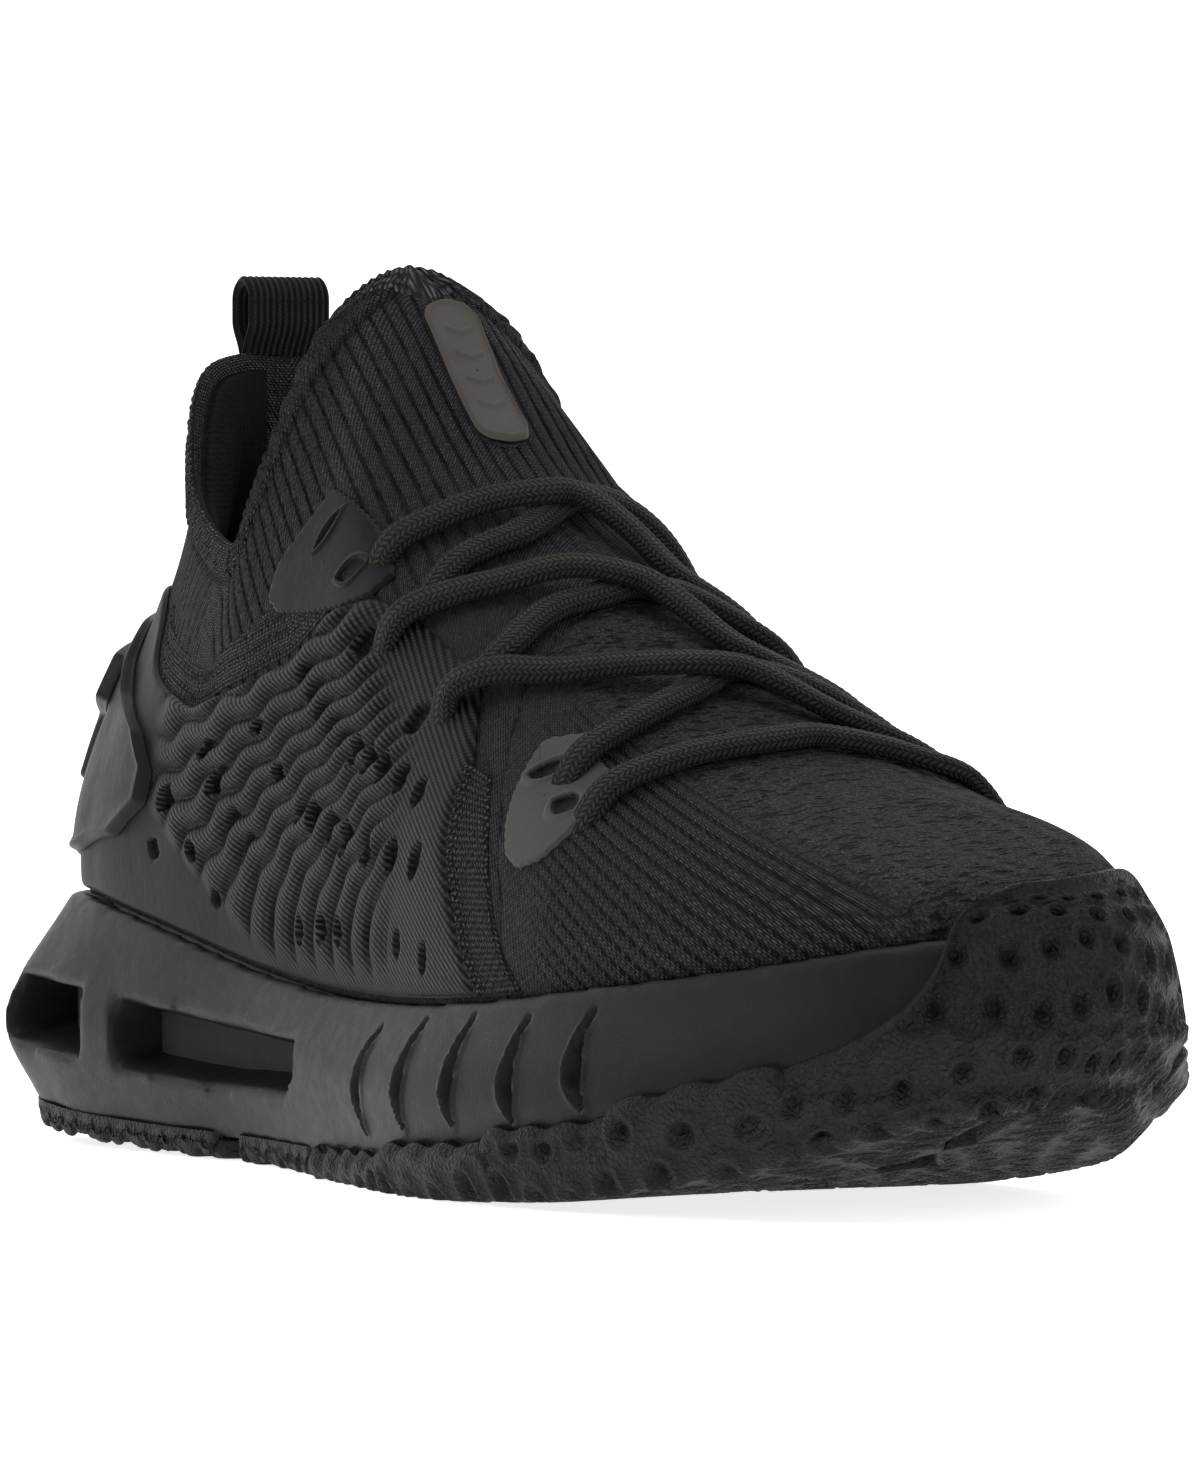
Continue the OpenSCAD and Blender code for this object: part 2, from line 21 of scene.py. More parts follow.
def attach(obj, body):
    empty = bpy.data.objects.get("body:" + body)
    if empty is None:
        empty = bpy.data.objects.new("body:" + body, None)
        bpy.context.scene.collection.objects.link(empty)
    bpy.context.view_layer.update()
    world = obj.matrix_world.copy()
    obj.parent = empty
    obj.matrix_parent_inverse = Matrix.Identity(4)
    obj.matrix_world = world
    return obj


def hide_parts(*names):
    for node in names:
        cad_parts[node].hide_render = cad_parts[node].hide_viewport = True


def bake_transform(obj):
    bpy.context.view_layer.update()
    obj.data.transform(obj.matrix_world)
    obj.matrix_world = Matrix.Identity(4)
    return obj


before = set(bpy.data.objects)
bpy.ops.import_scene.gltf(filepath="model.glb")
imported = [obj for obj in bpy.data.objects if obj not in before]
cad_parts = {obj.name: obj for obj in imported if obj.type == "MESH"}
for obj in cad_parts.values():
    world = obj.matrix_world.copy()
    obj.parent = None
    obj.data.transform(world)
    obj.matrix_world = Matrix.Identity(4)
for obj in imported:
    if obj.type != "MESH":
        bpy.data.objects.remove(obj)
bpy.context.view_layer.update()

MM = 0.001
REAR, FRONT, TAB = "rearfoot", "forefoot", "pull_tab"
WORD = {-1: "lateral", 1: "medial"}
KNIT_T = 2.2

# ---- curves ------------------------------------------------------------


def spline(a, b, c, d, f):
    return b + f * ((c - a) / 2 + f * (a - 2.5 * b + 2 * c - d / 2 + f * (1.5 * (b - c) + (d - a) / 2)))


def ring_at(points, t):
    """Smooth value on a closed list, t from 0 to 1 once round."""
    points = np.asarray(points, float)
    n = len(points)
    s = (t - np.floor(t)) * n
    i = np.floor(s).astype(int)
    f = s - i if points.ndim == 1 else (s - i)[..., None]
    return spline(points[(i - 1) % n], points[i % n], points[(i + 1) % n], points[(i + 2) % n], f)


def line_at(points, t):
    """Smooth value on an open list, t from 0 to 1 end to end."""
    points = np.asarray(points, float)
    n = len(points) - 1
    ends = np.concatenate([[2 * points[0] - points[1]], points, [2 * points[-1] - points[-2]]])
    s = np.clip(t, 0, 1) * n
    i = np.minimum(np.floor(s).astype(int), n - 1)
    f = s - i if points.ndim == 1 else (s - i)[..., None]
    return spline(ends[i], ends[i + 1], ends[i + 2], ends[i + 3], f)


def line_through(rows, t):
    """Like line_at, where each sample has its own points: rows is a list of arrays of samples."""
    rows = np.stack(rows)
    n = len(rows) - 1
    ends = np.concatenate([[2 * rows[0] - rows[1]], rows, [2 * rows[-1] - rows[-2]]])
    s = np.clip(t, 0, 1) * n
    i = np.minimum(np.floor(s).astype(int), n - 1)
    k = np.arange(rows.shape[1])
    return spline(ends[i, k], ends[i + 1, k], ends[i + 2, k], ends[i + 3, k], (s - i)[:, None])


def step(x, low, high):
    """0 below low, 1 above high, smooth between."""
    t = np.clip((x - low) / (high - low), 0, 1)
    return t * t * (3 - 2 * t)


def unit(v):
    return v / np.maximum(np.linalg.norm(v, axis=-1, keepdims=True), 1e-9)


# ---- the sole and the upper, as in the CAD source -------------------------


def ring(lateral, medial):
    return np.concatenate([lateral, medial[-2:0:-1]])


def loop_of(heel, toe, lateral, medial, z_lateral, z_medial):
    return heel, toe, ring(lateral, medial), ring(z_lateral, z_medial)


BOTTOM = loop_of(-144, 142, [0, -33.5, -40, -39.5, -38, -44, -50, -46, -33, -16, 5],
                 [0, 27, 35, 36, 33, 34, 43, 44, 30, 16, 5],
                 [7.9, 6.9, 5.3, 4.3, 3.9, 3.9, 4, 6, 11, 18, 21],
                 [7.9, 6.9, 5.3, 4.3, 3.9, 3.9, 4, 9, 15, 20, 21])
WIDE = loop_of(-150, 148.05, [0, -37.5, -43.5, -43, -42, -47, -53, -50, -37, -19, 5],
               [0, 30, 39, 40, 37, 38, 47, 53, 36, 21, 5],
               [23, 22, 21, 20, 19, 17, 16, 17, 22, 28, 31],
               [23, 22, 21, 20, 19, 17, 17, 20, 25, 29, 31])
RIM = loop_of(-141, 143, [0, -29, -37, -39, -39, -43, -48, -46, -34, -18, 5],
              [0, 26, 35, 37, 35, 34, 43, 49, 35, 22.5, 5],
              [43, 42, 41, 37, 31, 28.5, 29.5, 33, 37, 41, 43],
              [43, 42, 41, 38, 33, 31, 31, 33, 37, 41, 43])


def on_loop(loop, u, out=0.0, up=0.0):
    """Point on an outline of the sole, u 0 at the heel and 0.5 at the toe, lateral side first."""
    y = ring_at(loop[2], u)
    c = np.cos(2 * np.pi * u)
    y0 = 5 * (1 - c) / 2
    x = (loop[0] + loop[1]) / 2 - ((loop[1] - loop[0]) / 2 + out) * c
    return np.stack([x, y + out * (y - y0) / (np.abs(y - y0) + 4), ring_at(loop[3], u) + up], -1)


COLLAR = np.array([
    (-117, 0, 133), (-116, -9, 133), (-112, -17, 130), (-104, -23, 121), (-91, -28, 109),
    (-71, -30, 101), (-64, -28, 114), (-62, -17, 138.5), (-62, -1, 147.5), (-33, 0, 119),
    (0, 1, 99), (38, 1, 81), (72, 2, 69), (96, 3, 61.5), (112, 4, 57), (120, 5, 55),
    (122, 5, 54.5)])
SHOULDER = np.array([
    (-109, 0, 92), (-108, -9, 92), (-104, -16, 92), (-96, -21, 90), (-87, -29, 86),
    (-70, -35, 80), (-56, -38, 88), (-46, -36, 104), (-42, -31, 123), (-22, -29, 109),
    (12, -31, 92), (50, -28, 76), (82, -24, 65), (104, -19, 59), (118, -12, 55),
    (128, -3, 53), (132, 5, 52)])
SHOULDER_MEDIAL = np.array([
    (-109, 0, 92), (-108, 9, 92), (-104, 16, 92), (-96, 21, 90), (-87, 29, 86),
    (-70, 35, 80), (-56, 37, 88), (-46, 35, 104), (-42, 28, 123), (-22, 21, 109),
    (12, 17, 92), (50, 18, 76), (82, 24, 66), (104, 26, 63.5), (118, 22, 60),
    (128, 15, 55.5), (132, 5, 52)])
BELLY = np.array([
    (-4, 0, 28), (-4, -2, 28), (-3, -3, 27), (-2, -3, 26), (0, -3, 24), (0, -3, 24),
    (0, -3, 26), (0, -3, 30), (0, -3, 32), (0, -3, 30), (0, -3, 25), (0, -3, 19), (1, -3, 15),
    (1.5, -2, 12), (2, -1.5, 9), (2, 0, 7), (2, 0, 6)])

BELLY_MEDIAL = np.array([
    (-4, 0, 28), (-4, 2, 28), (-3, 3, 27), (-2, 3, 26), (0, 3, 24), (0, 3, 24),
    (0, 3, 26), (0, 3, 30), (0, 3, 32), (0, 3, 30), (0, 3, 25), (0, 3, 19), (1, 3, 15.5),
    (1.5, 2, 13), (2, 1.5, 11), (2, 1, 8), (2, 0, 6)])
COLLAR_MEDIAL = COLLAR.copy()
COLLAR_MEDIAL[:8, 1] = [0, 9, 17, 23, 28, 30, 27, 15.5]
COLLAR_RING = ring(COLLAR, COLLAR_MEDIAL)
SHOULDER_RING = ring(SHOULDER, SHOULDER_MEDIAL)
BELLY_RING = ring(BELLY, BELLY_MEDIAL)
FEATHER_IN = 2.5


def upper(u, v):
    """Point on the upper: v 0 at the sole, 1 at the collar line."""
    v = np.asarray(v, float)[..., None]
    w = 1 - v
    p0 = on_loop(RIM, u, -FEATHER_IN, 0.2)
    p1 = p0 + ring_at(BELLY_RING, u)
    p2 = ring_at(SHOULDER_RING, u)
    p3 = ring_at(COLLAR_RING, u)
    return w ** 3 * p0 + 3 * w * w * v * p1 + 3 * w * v * v * p2 + v ** 3 * p3


def arch(u, w):
    """The same surface across the foot: w -1 at the lateral sole edge, 0 instep, 1 medial."""
    left = w <= 0
    return upper(np.where(left, u, 1 - u), np.where(left, 1 + w, 1 - w))


def sole_side(u, t):
    """Side of the sole: t 0 at the bottom edge, 1 at the widest line, 2 at the rim."""
    return line_through([on_loop(BOTTOM, u), on_loop(WIDE, u), on_loop(RIM, u)], t / 2)


def toe_side(u, t):
    """Side of the sole, going on over the rim to the top of the toe at t 4."""
    rows = [on_loop(BOTTOM, u, -1, -3), on_loop(BOTTOM, u), on_loop(WIDE, u), on_loop(RIM, u, 0.6),
            upper(u, np.full_like(u, 0.22)), upper(u, np.full_like(u, 0.45))]
    return line_through(rows, (t + 1) / 5)


def grid_of(surface, u, v):
    """Points of surface(u, v) for two arrays of the same shape."""
    return surface(u.ravel(), v.ravel()).reshape(u.shape + (3,))


def slope_normal(surface, u, v):
    """Unit normal of surface(u, v), on the side that du x dv gives."""
    e = 0.003
    du = surface(u + e, v) - surface(u - e, v)
    dv = surface(u, v + e) - surface(u, v - e)
    return unit(np.cross(du, dv))


def base_on(surface, u, v):
    """Points of surface(u, v) and the unit normals there, for two arrays of the same shape."""
    base = grid_of(surface, u, v)
    return base, slope_normal(surface, u.ravel(), v.ravel()).reshape(base.shape)


def side_w(v, side):
    """Place w on arch for a height v on one side: -1 lateral, 1 medial."""
    return v - 1 if side < 0 else 1 - v


def bottom_u(x):
    """Place u of x on the lateral side of the sole's bottom edge."""
    middle, half = (BOTTOM[1] + BOTTOM[0]) / 2, (BOTTOM[1] - BOTTOM[0]) / 2
    return np.arccos(np.clip((middle - x) / half, -1, 1)) / (2 * np.pi)


# ---- meshes ------------------------------------------------------------


def mesh_object(name, points, faces, material, uv=None, values=None, smooth=True):
    """Mesh from points in mm. uv is one pair for each point, values is {name: one number for each point}."""
    mesh = bpy.data.meshes.new(name)
    mesh.from_pydata((points * MM).tolist(), [], [list(map(int, f)) for f in faces])
    mesh.update()
    if uv is not None:
        index = np.empty(len(mesh.loops), int)
        mesh.loops.foreach_get("vertex_index", index)
        mesh.uv_layers.new(name="UVMap").data.foreach_set("uv", uv[index].astype(np.float32).ravel())
    for key, value in (values or {}).items():
        mesh.attributes.new(key, "FLOAT", "POINT").data.foreach_set("value", value.astype(np.float32))
    mesh.polygons.foreach_set("use_smooth", np.full(len(mesh.polygons), smooth))
    mesh.materials.append(material)
    obj = bpy.data.objects.new(name, mesh)
    bpy.context.scene.collection.objects.link(obj)
    return obj


def quads(nu, nv, wrap_u=False, wrap_v=False):
    """Faces of a grid of nu x nv points."""
    i = np.arange(nu if wrap_u else nu - 1)[:, None]
    j = np.arange(nv if wrap_v else nv - 1)[None, :]
    i1, j1 = (i + 1) % nu, (j + 1) % nv
    corners = [i * nv + j, i1 * nv + j, i1 * nv + j1, i * nv + j1]
    return np.stack(np.broadcast_arrays(*corners), -1).reshape(-1, 4)


def edge_strip(a, b):
    """Faces between two rows of point numbers."""
    return np.stack([a[:-1], a[1:], b[1:], b[:-1]], -1)


def shell(name, base, normal, high, low, material, wrap_u=False, uv=None, values=None, disc=False):
    """Closed skin between two heights above a grid of points. A disc's first v row is closed over."""
    nu, nv = base.shape[:2]
    high = np.broadcast_to(high, (nu, nv))[..., None]
    low = np.broadcast_to(low, (nu, nv))[..., None]
    points = np.concatenate([(base + normal * h).reshape(-1, 3) for h in (high, low)])
    n = nu * nv
    index = np.arange(n).reshape(nu, nv)
    top = quads(nu, nv, wrap_u)
    parts = [top, top[:, ::-1] + n]
    rims = [] if disc else [(index[:, 0], 1)]
    rims.append((index[:, -1], -1))
    if wrap_u:
        rims = [(np.append(row, row[0]), way) for row, way in rims]
    else:
        rims += [(index[0, :], -1), (index[-1, :], 1)]
    for row, way in rims:
        parts.append(edge_strip(row, row + n)[:, ::way])
    faces = [list(f) for f in np.concatenate(parts)]
    if disc:
        faces += [list(index[:, 0]), list(index[::-1, 0] + n)]
    a, b, d = points[top[:, 0]], points[top[:, 1]], points[top[:, 3]]
    if np.einsum("ij,ij->i", np.cross(b - a, d - a), normal.reshape(-1, 3)[top[:, 0]]).sum() < 0:
        faces = [f[::-1] for f in faces]

    def twice(a):
        flat = np.broadcast_to(a, (nu, nv) + np.shape(a)[2:]).reshape((n,) + np.shape(a)[2:])
        return np.concatenate([flat, flat])
    values = {k: twice(v) for k, v in (values or {}).items()}
    return mesh_object(name, points, faces, material, None if uv is None else twice(uv), values)


def grid_normal(points, wrap_u=False):
    """Unit normals of a grid of points, from its own slopes."""
    if wrap_u:
        du = np.roll(points, -1, 0) - np.roll(points, 1, 0)
    else:
        du = np.gradient(points, axis=0)
    return unit(np.cross(du, np.gradient(points, axis=1)))


def arc_along(points, axis):
    """Distance along a grid's rows from its first point."""
    steps = np.linalg.norm(np.diff(points, axis=axis), axis=-1)
    zero = np.zeros_like(np.take(steps, [0], axis))
    return np.cumsum(np.concatenate([zero, steps], axis), axis)


def rounded_edge(shape, rows, wrap_u=False):
    """0 at a grid's edges, rising to 1 over some rows, like a quarter circle."""
    def side(n):
        away = np.minimum(np.arange(n), np.arange(n)[::-1])
        t = np.clip(away / rows, 0, 1)
        return np.sqrt(1 - (1 - t) ** 2)
    u = np.ones(shape[0]) if wrap_u else side(shape[0])
    return u[:, None] * side(shape[1])[None, :]


def grow_up(obj, body=None, stands_for=()):
    """Says what a finished piece rides on, baking its place into the mesh when it rides on nothing, and
    hides the parts it stands for.
    """
    if body is None:
        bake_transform(obj)
    else:
        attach(obj, body)
    if stands_for:
        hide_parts(*stands_for)
    return obj


# ---- materials -----------------------------------------------------------


class Look:
    """A node material, with short calls for its nodes."""

    def __init__(self, name, colour, roughness, **sockets):
        self.material = bpy.data.materials.new(name)
        self.material.use_nodes = True
        self.tree = self.material.node_tree
        self.shader = self.tree.nodes["Principled BSDF"]
        self.set("Base Color", (*colour, 1))
        self.set("Roughness", roughness)
        for key, value in sockets.items():
            self.set(key.replace("_", " "), value)

    def set(self, socket, value):
        if isinstance(value, bpy.types.NodeSocket):
            self.tree.links.new(value, self.shader.inputs[socket])
        else:
            self.shader.inputs[socket].default_value = value

    def node(self, kind, out=0, **settings):
        """New node's output. Settings that start with in_ are its inputs, the others its properties."""
        n = self.tree.nodes.new(kind)
        for key, value in settings.items():
            if key.startswith("in_"):
                self.feed(n, key[3:], value)
            else:
                setattr(n, key, value)
        return n.outputs[out]

    def feed(self, n, key, value):
        socket = n.inputs[int(key) if key.isdigit() else key]
        if isinstance(value, bpy.types.NodeSocket):
            self.tree.links.new(value, socket)
        else:
            socket.default_value = value

    def math(self, operation, a, b=0.0, c=0.0):
        return self.node("ShaderNodeMath", operation=operation, in_0=a, in_1=b, in_2=c)

    def coordinate(self, source="UV"):
        """The two halves of the UV map in mm, or a place in the object in mm."""
        if source == "UV":
            vector = self.node("ShaderNodeUVMap")
        else:
            vector = self.node("ShaderNodeTexCoord", out=3)
            vector = self.node("ShaderNodeVectorMath", operation="SCALE", in_0=vector, in_Scale=1 / MM)
        xyz = self.node("ShaderNodeSeparateXYZ", in_0=vector).node
        return vector, xyz.outputs[0], xyz.outputs[1]

    def stored(self, name):
        """A number that the mesh carries at each point."""
        return self.node("ShaderNodeAttribute", out=2, attribute_name=name)

    def noise(self, scale, vector, detail=2.0, rough=0.6):
        return self.node("ShaderNodeTexNoise", in_Scale=scale, in_Vector=vector, in_Detail=detail,
                         in_Roughness=rough)

    def wave(self, x, period, phase=0.0):
        """Smooth wave from 0 to 1 along x."""
        turn = self.math("MULTIPLY_ADD", x, 2 * math.pi / period, phase)
        return self.math("MULTIPLY_ADD", self.math("SINE", turn), 0.5, 0.5)

    def mix(self, factor, a, b):
        """Colour between a and b."""
        n = self.tree.nodes.new("ShaderNodeMix")
        n.data_type = "RGBA"
        for socket, value in ((n.inputs["Factor"], factor), (n.inputs[6], a), (n.inputs[7], b)):
            if isinstance(value, bpy.types.NodeSocket):
                self.tree.links.new(value, socket)
            elif socket.type == "RGBA":
                socket.default_value = (*value, 1)
            else:
                socket.default_value = value
        return n.outputs[2]

    def bump(self, height, depth, strength=1.0):
        """Relief on the shader, height 0 to 1 standing for depth in mm."""
        before = self.shader.inputs["Normal"]
        n = self.tree.nodes.new("ShaderNodeBump")
        n.inputs["Strength"].default_value = strength
        n.inputs["Distance"].default_value = depth * MM
        self.tree.links.new(height, n.inputs["Height"])
        if before.is_linked:
            self.tree.links.new(before.links[0].from_socket, n.inputs["Normal"])
        self.tree.links.new(n.outputs["Normal"], before)


def stitches(look, across, along, wale, course):
    """Height of knitted V stitches, 0 to 1: columns of width wale, rows of height course."""
    column = look.math("FRACT", look.math("DIVIDE", across, wale))
    slant = look.math("ABSOLUTE", look.math("SUBTRACT", column, 0.5))
    row = look.math("ADD", look.math("DIVIDE", along, course), slant)
    leg = look.math("ABSOLUTE", look.math("SINE", look.math("MULTIPLY", row, math.pi)))
    gutter = look.math("SINE", look.math("MULTIPLY", slant, 2 * math.pi))
    return look.math("MULTIPLY", leg, look.math("ABSOLUTE", gutter))


def knit_look(name, colour, light, wale, course, depth, speckle=1.0, ribs=0.0):
    """Knit of V stitches, their crests painted lighter as painted highlight with random speckle; ribs is the
    pitch in mm of grooves across the mesh's stored "rib" place, the grooves painted dark as painted shade.
    """
    look = Look(name, colour, 0.85, Sheen_Weight=0.02, Sheen_Roughness=0.5, Specular_IOR_Level=0.12)
    vector, across, along = look.coordinate()
    fuzz = look.noise(1.6, vector, 3)
    moved = look.math("MULTIPLY_ADD", fuzz, 0.5, along)
    knit = stitches(look, across, moved, wale, course)
    spots = look.math("MULTIPLY_ADD", look.math("SUBTRACT", look.noise(1.1, vector, 2), 0.5), 2.4, 0.5)
    bright = look.math("MULTIPLY_ADD", spots, speckle, 0.1)
    # Painted highlight: the stitch crests are painted lighter, times a random speckle.
    shade = look.math("MULTIPLY", look.math("MULTIPLY", knit, knit), bright)
    tone = look.mix(shade, colour, light)
    # Painted shade: near black wherever the mesh's pit mask is set.
    dark = look.stored("shaded_pit")
    look.bump(look.noise(0.9, vector, 4), 0.25)
    look.bump(knit, depth)
    if ribs:
        turn = look.math("FRACT", look.math("DIVIDE", look.stored("rib"), ribs))
        away = look.math("ABSOLUTE", look.math("SUBTRACT", turn, 0.5))
        outside = look.math("MINIMUM", look.math("MULTIPLY", away, 6.0), 1.0)
        cut_in = look.math("MULTIPLY", look.math("SUBTRACT", 1.0, outside), look.stored("ribbed"))
        look.bump(look.math("SUBTRACT", 1.0, cut_in), 0.6)
        # Painted shade: the rib grooves are painted dark as well.
        dark = look.math("MAXIMUM", dark, look.math("MULTIPLY", cut_in, 0.85))
    look.set("Base Color", look.mix(dark, tone, (0.001, 0.001, 0.0012)))
    return look.material


def toe_look(name, colour, light):
    """Toe knit: fine ribs with ladders of holes on the flanks and short dashes on the crown; the holes and
    dashes are painted dark as painted shade, the strands painted lighter on their crests as painted
    highlight.
    """
    look = Look(name, colour, 0.85, Sheen_Weight=0.02, Specular_IOR_Level=0.12)
    _, across, along = look.coordinate()
    place, _, _ = look.coordinate("Object")
    flank, crown = look.stored("flank"), look.stored("crown")
    fuzz = look.noise(1.3, place, 3)
    strands = stitches(look, across, look.math("MULTIPLY_ADD", fuzz, 0.5, along), TOE_RIB / 3, 0.8)
    grainy = look.math("MULTIPLY", look.math("SUBTRACT", look.noise(2.2, place, 3), 0.3), 2.0)
    strands = look.math("ADD", look.math("MULTIPLY", strands, look.math("SUBTRACT", 1.0, crown)),
                        look.math("MULTIPLY", grainy, crown))
    turn = look.math("FRACT", look.math("DIVIDE", across, TOE_RIB))
    away = look.math("ABSOLUTE", look.math("SUBTRACT", turn, 0.5))
    ladder = look.math("SUBTRACT", 1.0, look.math("MINIMUM", look.math("MULTIPLY", away, 5.0), 1.0))
    rung = look.wave(look.math("MULTIPLY_ADD", fuzz, 0.5, along), 1.7)
    hole = look.math("MINIMUM", look.math("MULTIPLY", look.math("MULTIPLY", ladder, rung), 2.2), 1.0)
    long_way = look.node("ShaderNodeVectorMath", operation="MULTIPLY", in_0=place, in_1=(1.0, 0.4, 1.0))
    dash = look.math("MULTIPLY", look.math("SUBTRACT", look.noise(0.75, long_way, 1), 0.54), 9.0)
    dash = look.math("MINIMUM", look.math("MAXIMUM", dash, 0.0), 1.0)
    # Painted shade: the ladder holes on the flanks and the dashes on the crown.
    dark = look.math("MAXIMUM", look.math("MULTIPLY", hole, flank), look.math("MULTIPLY", dash, crown))
    # Painted highlight: the strands are painted lighter on their crests.
    shade = look.math("MULTIPLY", strands, look.math("MULTIPLY_ADD", fuzz, 1.8, -0.2))
    tone = look.mix(look.math("POWER", look.math("MAXIMUM", shade, 0.0), 1.4), colour, light)
    look.set("Base Color", look.mix(look.math("MULTIPLY", dark, 0.9), tone, (0.0008, 0.0008, 0.001)))
    look.bump(look.noise(0.9, place, 4), 0.2)
    look.bump(strands, 0.35)
    look.bump(look.math("SUBTRACT", 1.0, dark), 0.5)
    return look.material


def rubber_look(name, colour, roughness, grain=0.12, scales=None):
    """Moulded foam or rubber; scales is the size in mm of a net of small scales pressed into it."""
    look = Look(name, colour, roughness, Specular_IOR_Level=0.11)
    vector, _, _ = look.coordinate("Object")
    cloud = look.noise(0.05, vector, 5)
    fine = look.noise(2.5, vector, 3)
    lighter = tuple(min(1, c * 1.7 + 0.004) for c in colour)
    tone = look.mix(look.math("MULTIPLY", cloud, 0.9), colour, lighter)
    # Painted shade: near black in the pits, where the mesh's pit mask is set.
    look.set("Base Color", look.mix(look.stored("shaded_pit"), tone, (0.0006, 0.0006, 0.0006)))
    look.set("Roughness", look.math("MULTIPLY_ADD", look.noise(0.35, vector, 4), 0.25, roughness - 0.1))
    look.bump(fine, grain)
    if scales:
        cells = look.node("ShaderNodeTexVoronoi", in_Scale=1 / scales, in_Vector=vector,
                          feature="DISTANCE_TO_EDGE")
        look.bump(look.math("MINIMUM", look.math("MULTIPLY", cells, 3.2), 1.0), 0.3)
    return look.material


def film_look(name, colour, roughness, coat=0.3):
    """Glossy moulded film or plate with faint smears."""
    look = Look(name, colour, roughness, Coat_Weight=coat, Coat_Roughness=0.25, Specular_IOR_Level=0.07)
    vector, _, _ = look.coordinate("Object")
    smear = look.noise(0.12, vector, 5, 0.7)
    look.set("Roughness", look.math("MULTIPLY_ADD", smear, 0.3, roughness - 0.12))
    tone = look.mix(smear, colour, tuple(c * 1.6 for c in colour))
    # Painted shade: near black in holes, where the mesh's pit mask is set.
    look.set("Base Color", look.mix(look.stored("shaded_pit"), tone, (0.001, 0.001, 0.001)))
    look.bump(look.noise(0.3, vector, 3), 0.12)
    look.bump(look.noise(6.0, vector, 2), 0.02)
    return look.material


def panel_look():
    """Moulded textile with fine twill lines on its ribs, the rib crests painted lighter as painted highlight
    and its perforations painted dark as painted shade.
    """
    base, light = (0.0010, 0.0009, 0.0010), (0.092, 0.083, 0.088)
    look = Look("moulded_textile", base, 0.5, Specular_IOR_Level=0.05)
    _, across, along = look.coordinate()
    rib, shaded_pit, twill = look.stored("rib"), look.stored("shaded_pit"), look.stored("twill")
    line = look.wave(along, 0.95)
    yarn = look.wave(across, 0.85)
    weave = look.math("MULTIPLY", line, look.math("MULTIPLY_ADD", yarn, 0.35, 0.65))
    weave = look.math("MULTIPLY_ADD", twill, look.math("SUBTRACT", weave, 0.5), 0.5)
    # Painted highlight: the stored rib value lights the rib crests.
    raised = look.math("MULTIPLY", weave, look.math("MULTIPLY_ADD", rib, 0.8, 0.1))
    tone = look.mix(look.math("POWER", raised, 1.7), base, light)
    # Painted shade: near black in the perforations.
    look.set("Base Color", look.mix(shaded_pit, tone, (0.0003, 0.0003, 0.0003)))
    look.set("Roughness", look.math("MULTIPLY_ADD", raised, 0.2, 0.42))
    place, _, _ = look.coordinate("Object")
    look.bump(look.noise(0.25, place, 3), 0.15)
    look.bump(raised, 0.25)
    return look.material


def braid_look(name, colour, light, strand, depth):
    """Braid: chevrons of small strands, round the cord and along it in mm."""
    look = Look(name, colour, 0.7, Sheen_Weight=0.01, Specular_IOR_Level=0.1)
    vector, across, along = look.coordinate()
    column = look.math("FRACT", look.math("DIVIDE", across, 2 * strand))
    lane = look.math("ABSOLUTE", look.math("SUBTRACT", column, 0.5))
    slant = look.math("MULTIPLY_ADD", lane, 1.6, look.math("DIVIDE", along, strand * 1.15))
    bead = look.math("ABSOLUTE", look.math("SINE", look.math("MULTIPLY", slant, math.pi)))
    gutter = look.math("ABSOLUTE", look.math("SINE", look.math("MULTIPLY", across, math.pi / strand)))
    height = look.math("MULTIPLY", bead, look.math("MULTIPLY_ADD", gutter, 0.7, 0.3))
    fuzz = look.noise(3.0, vector, 3)
    shade = look.math("MULTIPLY", height, look.math("ADD", fuzz, 0.3))
    look.set("Base Color", look.mix(shade, colour, light))
    look.bump(height, depth)
    return look.material


def webbing_look():
    look = Look("tab_webbing", (0.009, 0.009, 0.010), 0.75, Sheen_Weight=0.01, Specular_IOR_Level=0.1)
    _, across, along = look.coordinate()
    rib = look.wave(across, 1.15)
    pick = look.wave(look.math("MULTIPLY_ADD", across, 0.5, along), 0.7)
    height = look.math("MULTIPLY", rib, look.math("MULTIPLY_ADD", pick, 0.4, 0.6))
    # Painted shading: the raised ribs are painted lighter and the gaps between them darker.
    look.set("Base Color", look.mix(height, (0.002, 0.002, 0.0022), (0.024, 0.024, 0.026)))
    look.bump(height, 0.25)
    return look.material


def mesh_cloth_look(name, colour, light, pitch, depth):
    """Open mesh or plain woven cloth, from its place in the object."""
    look = Look(name, colour, 0.8, Sheen_Weight=0.01, Specular_IOR_Level=0.1)
    vector, _, _ = look.coordinate("Object")
    cells = look.node("ShaderNodeTexVoronoi", in_Scale=1 / pitch, in_Vector=vector, in_Randomness=0.35)
    # Painted shading: the raised middles of the cells are painted lighter, the low lines between them
    # darker.
    look.set("Base Color", look.mix(cells, light, colour))
    look.bump(look.math("SUBTRACT", 1.0, cells), depth)
    return look.material


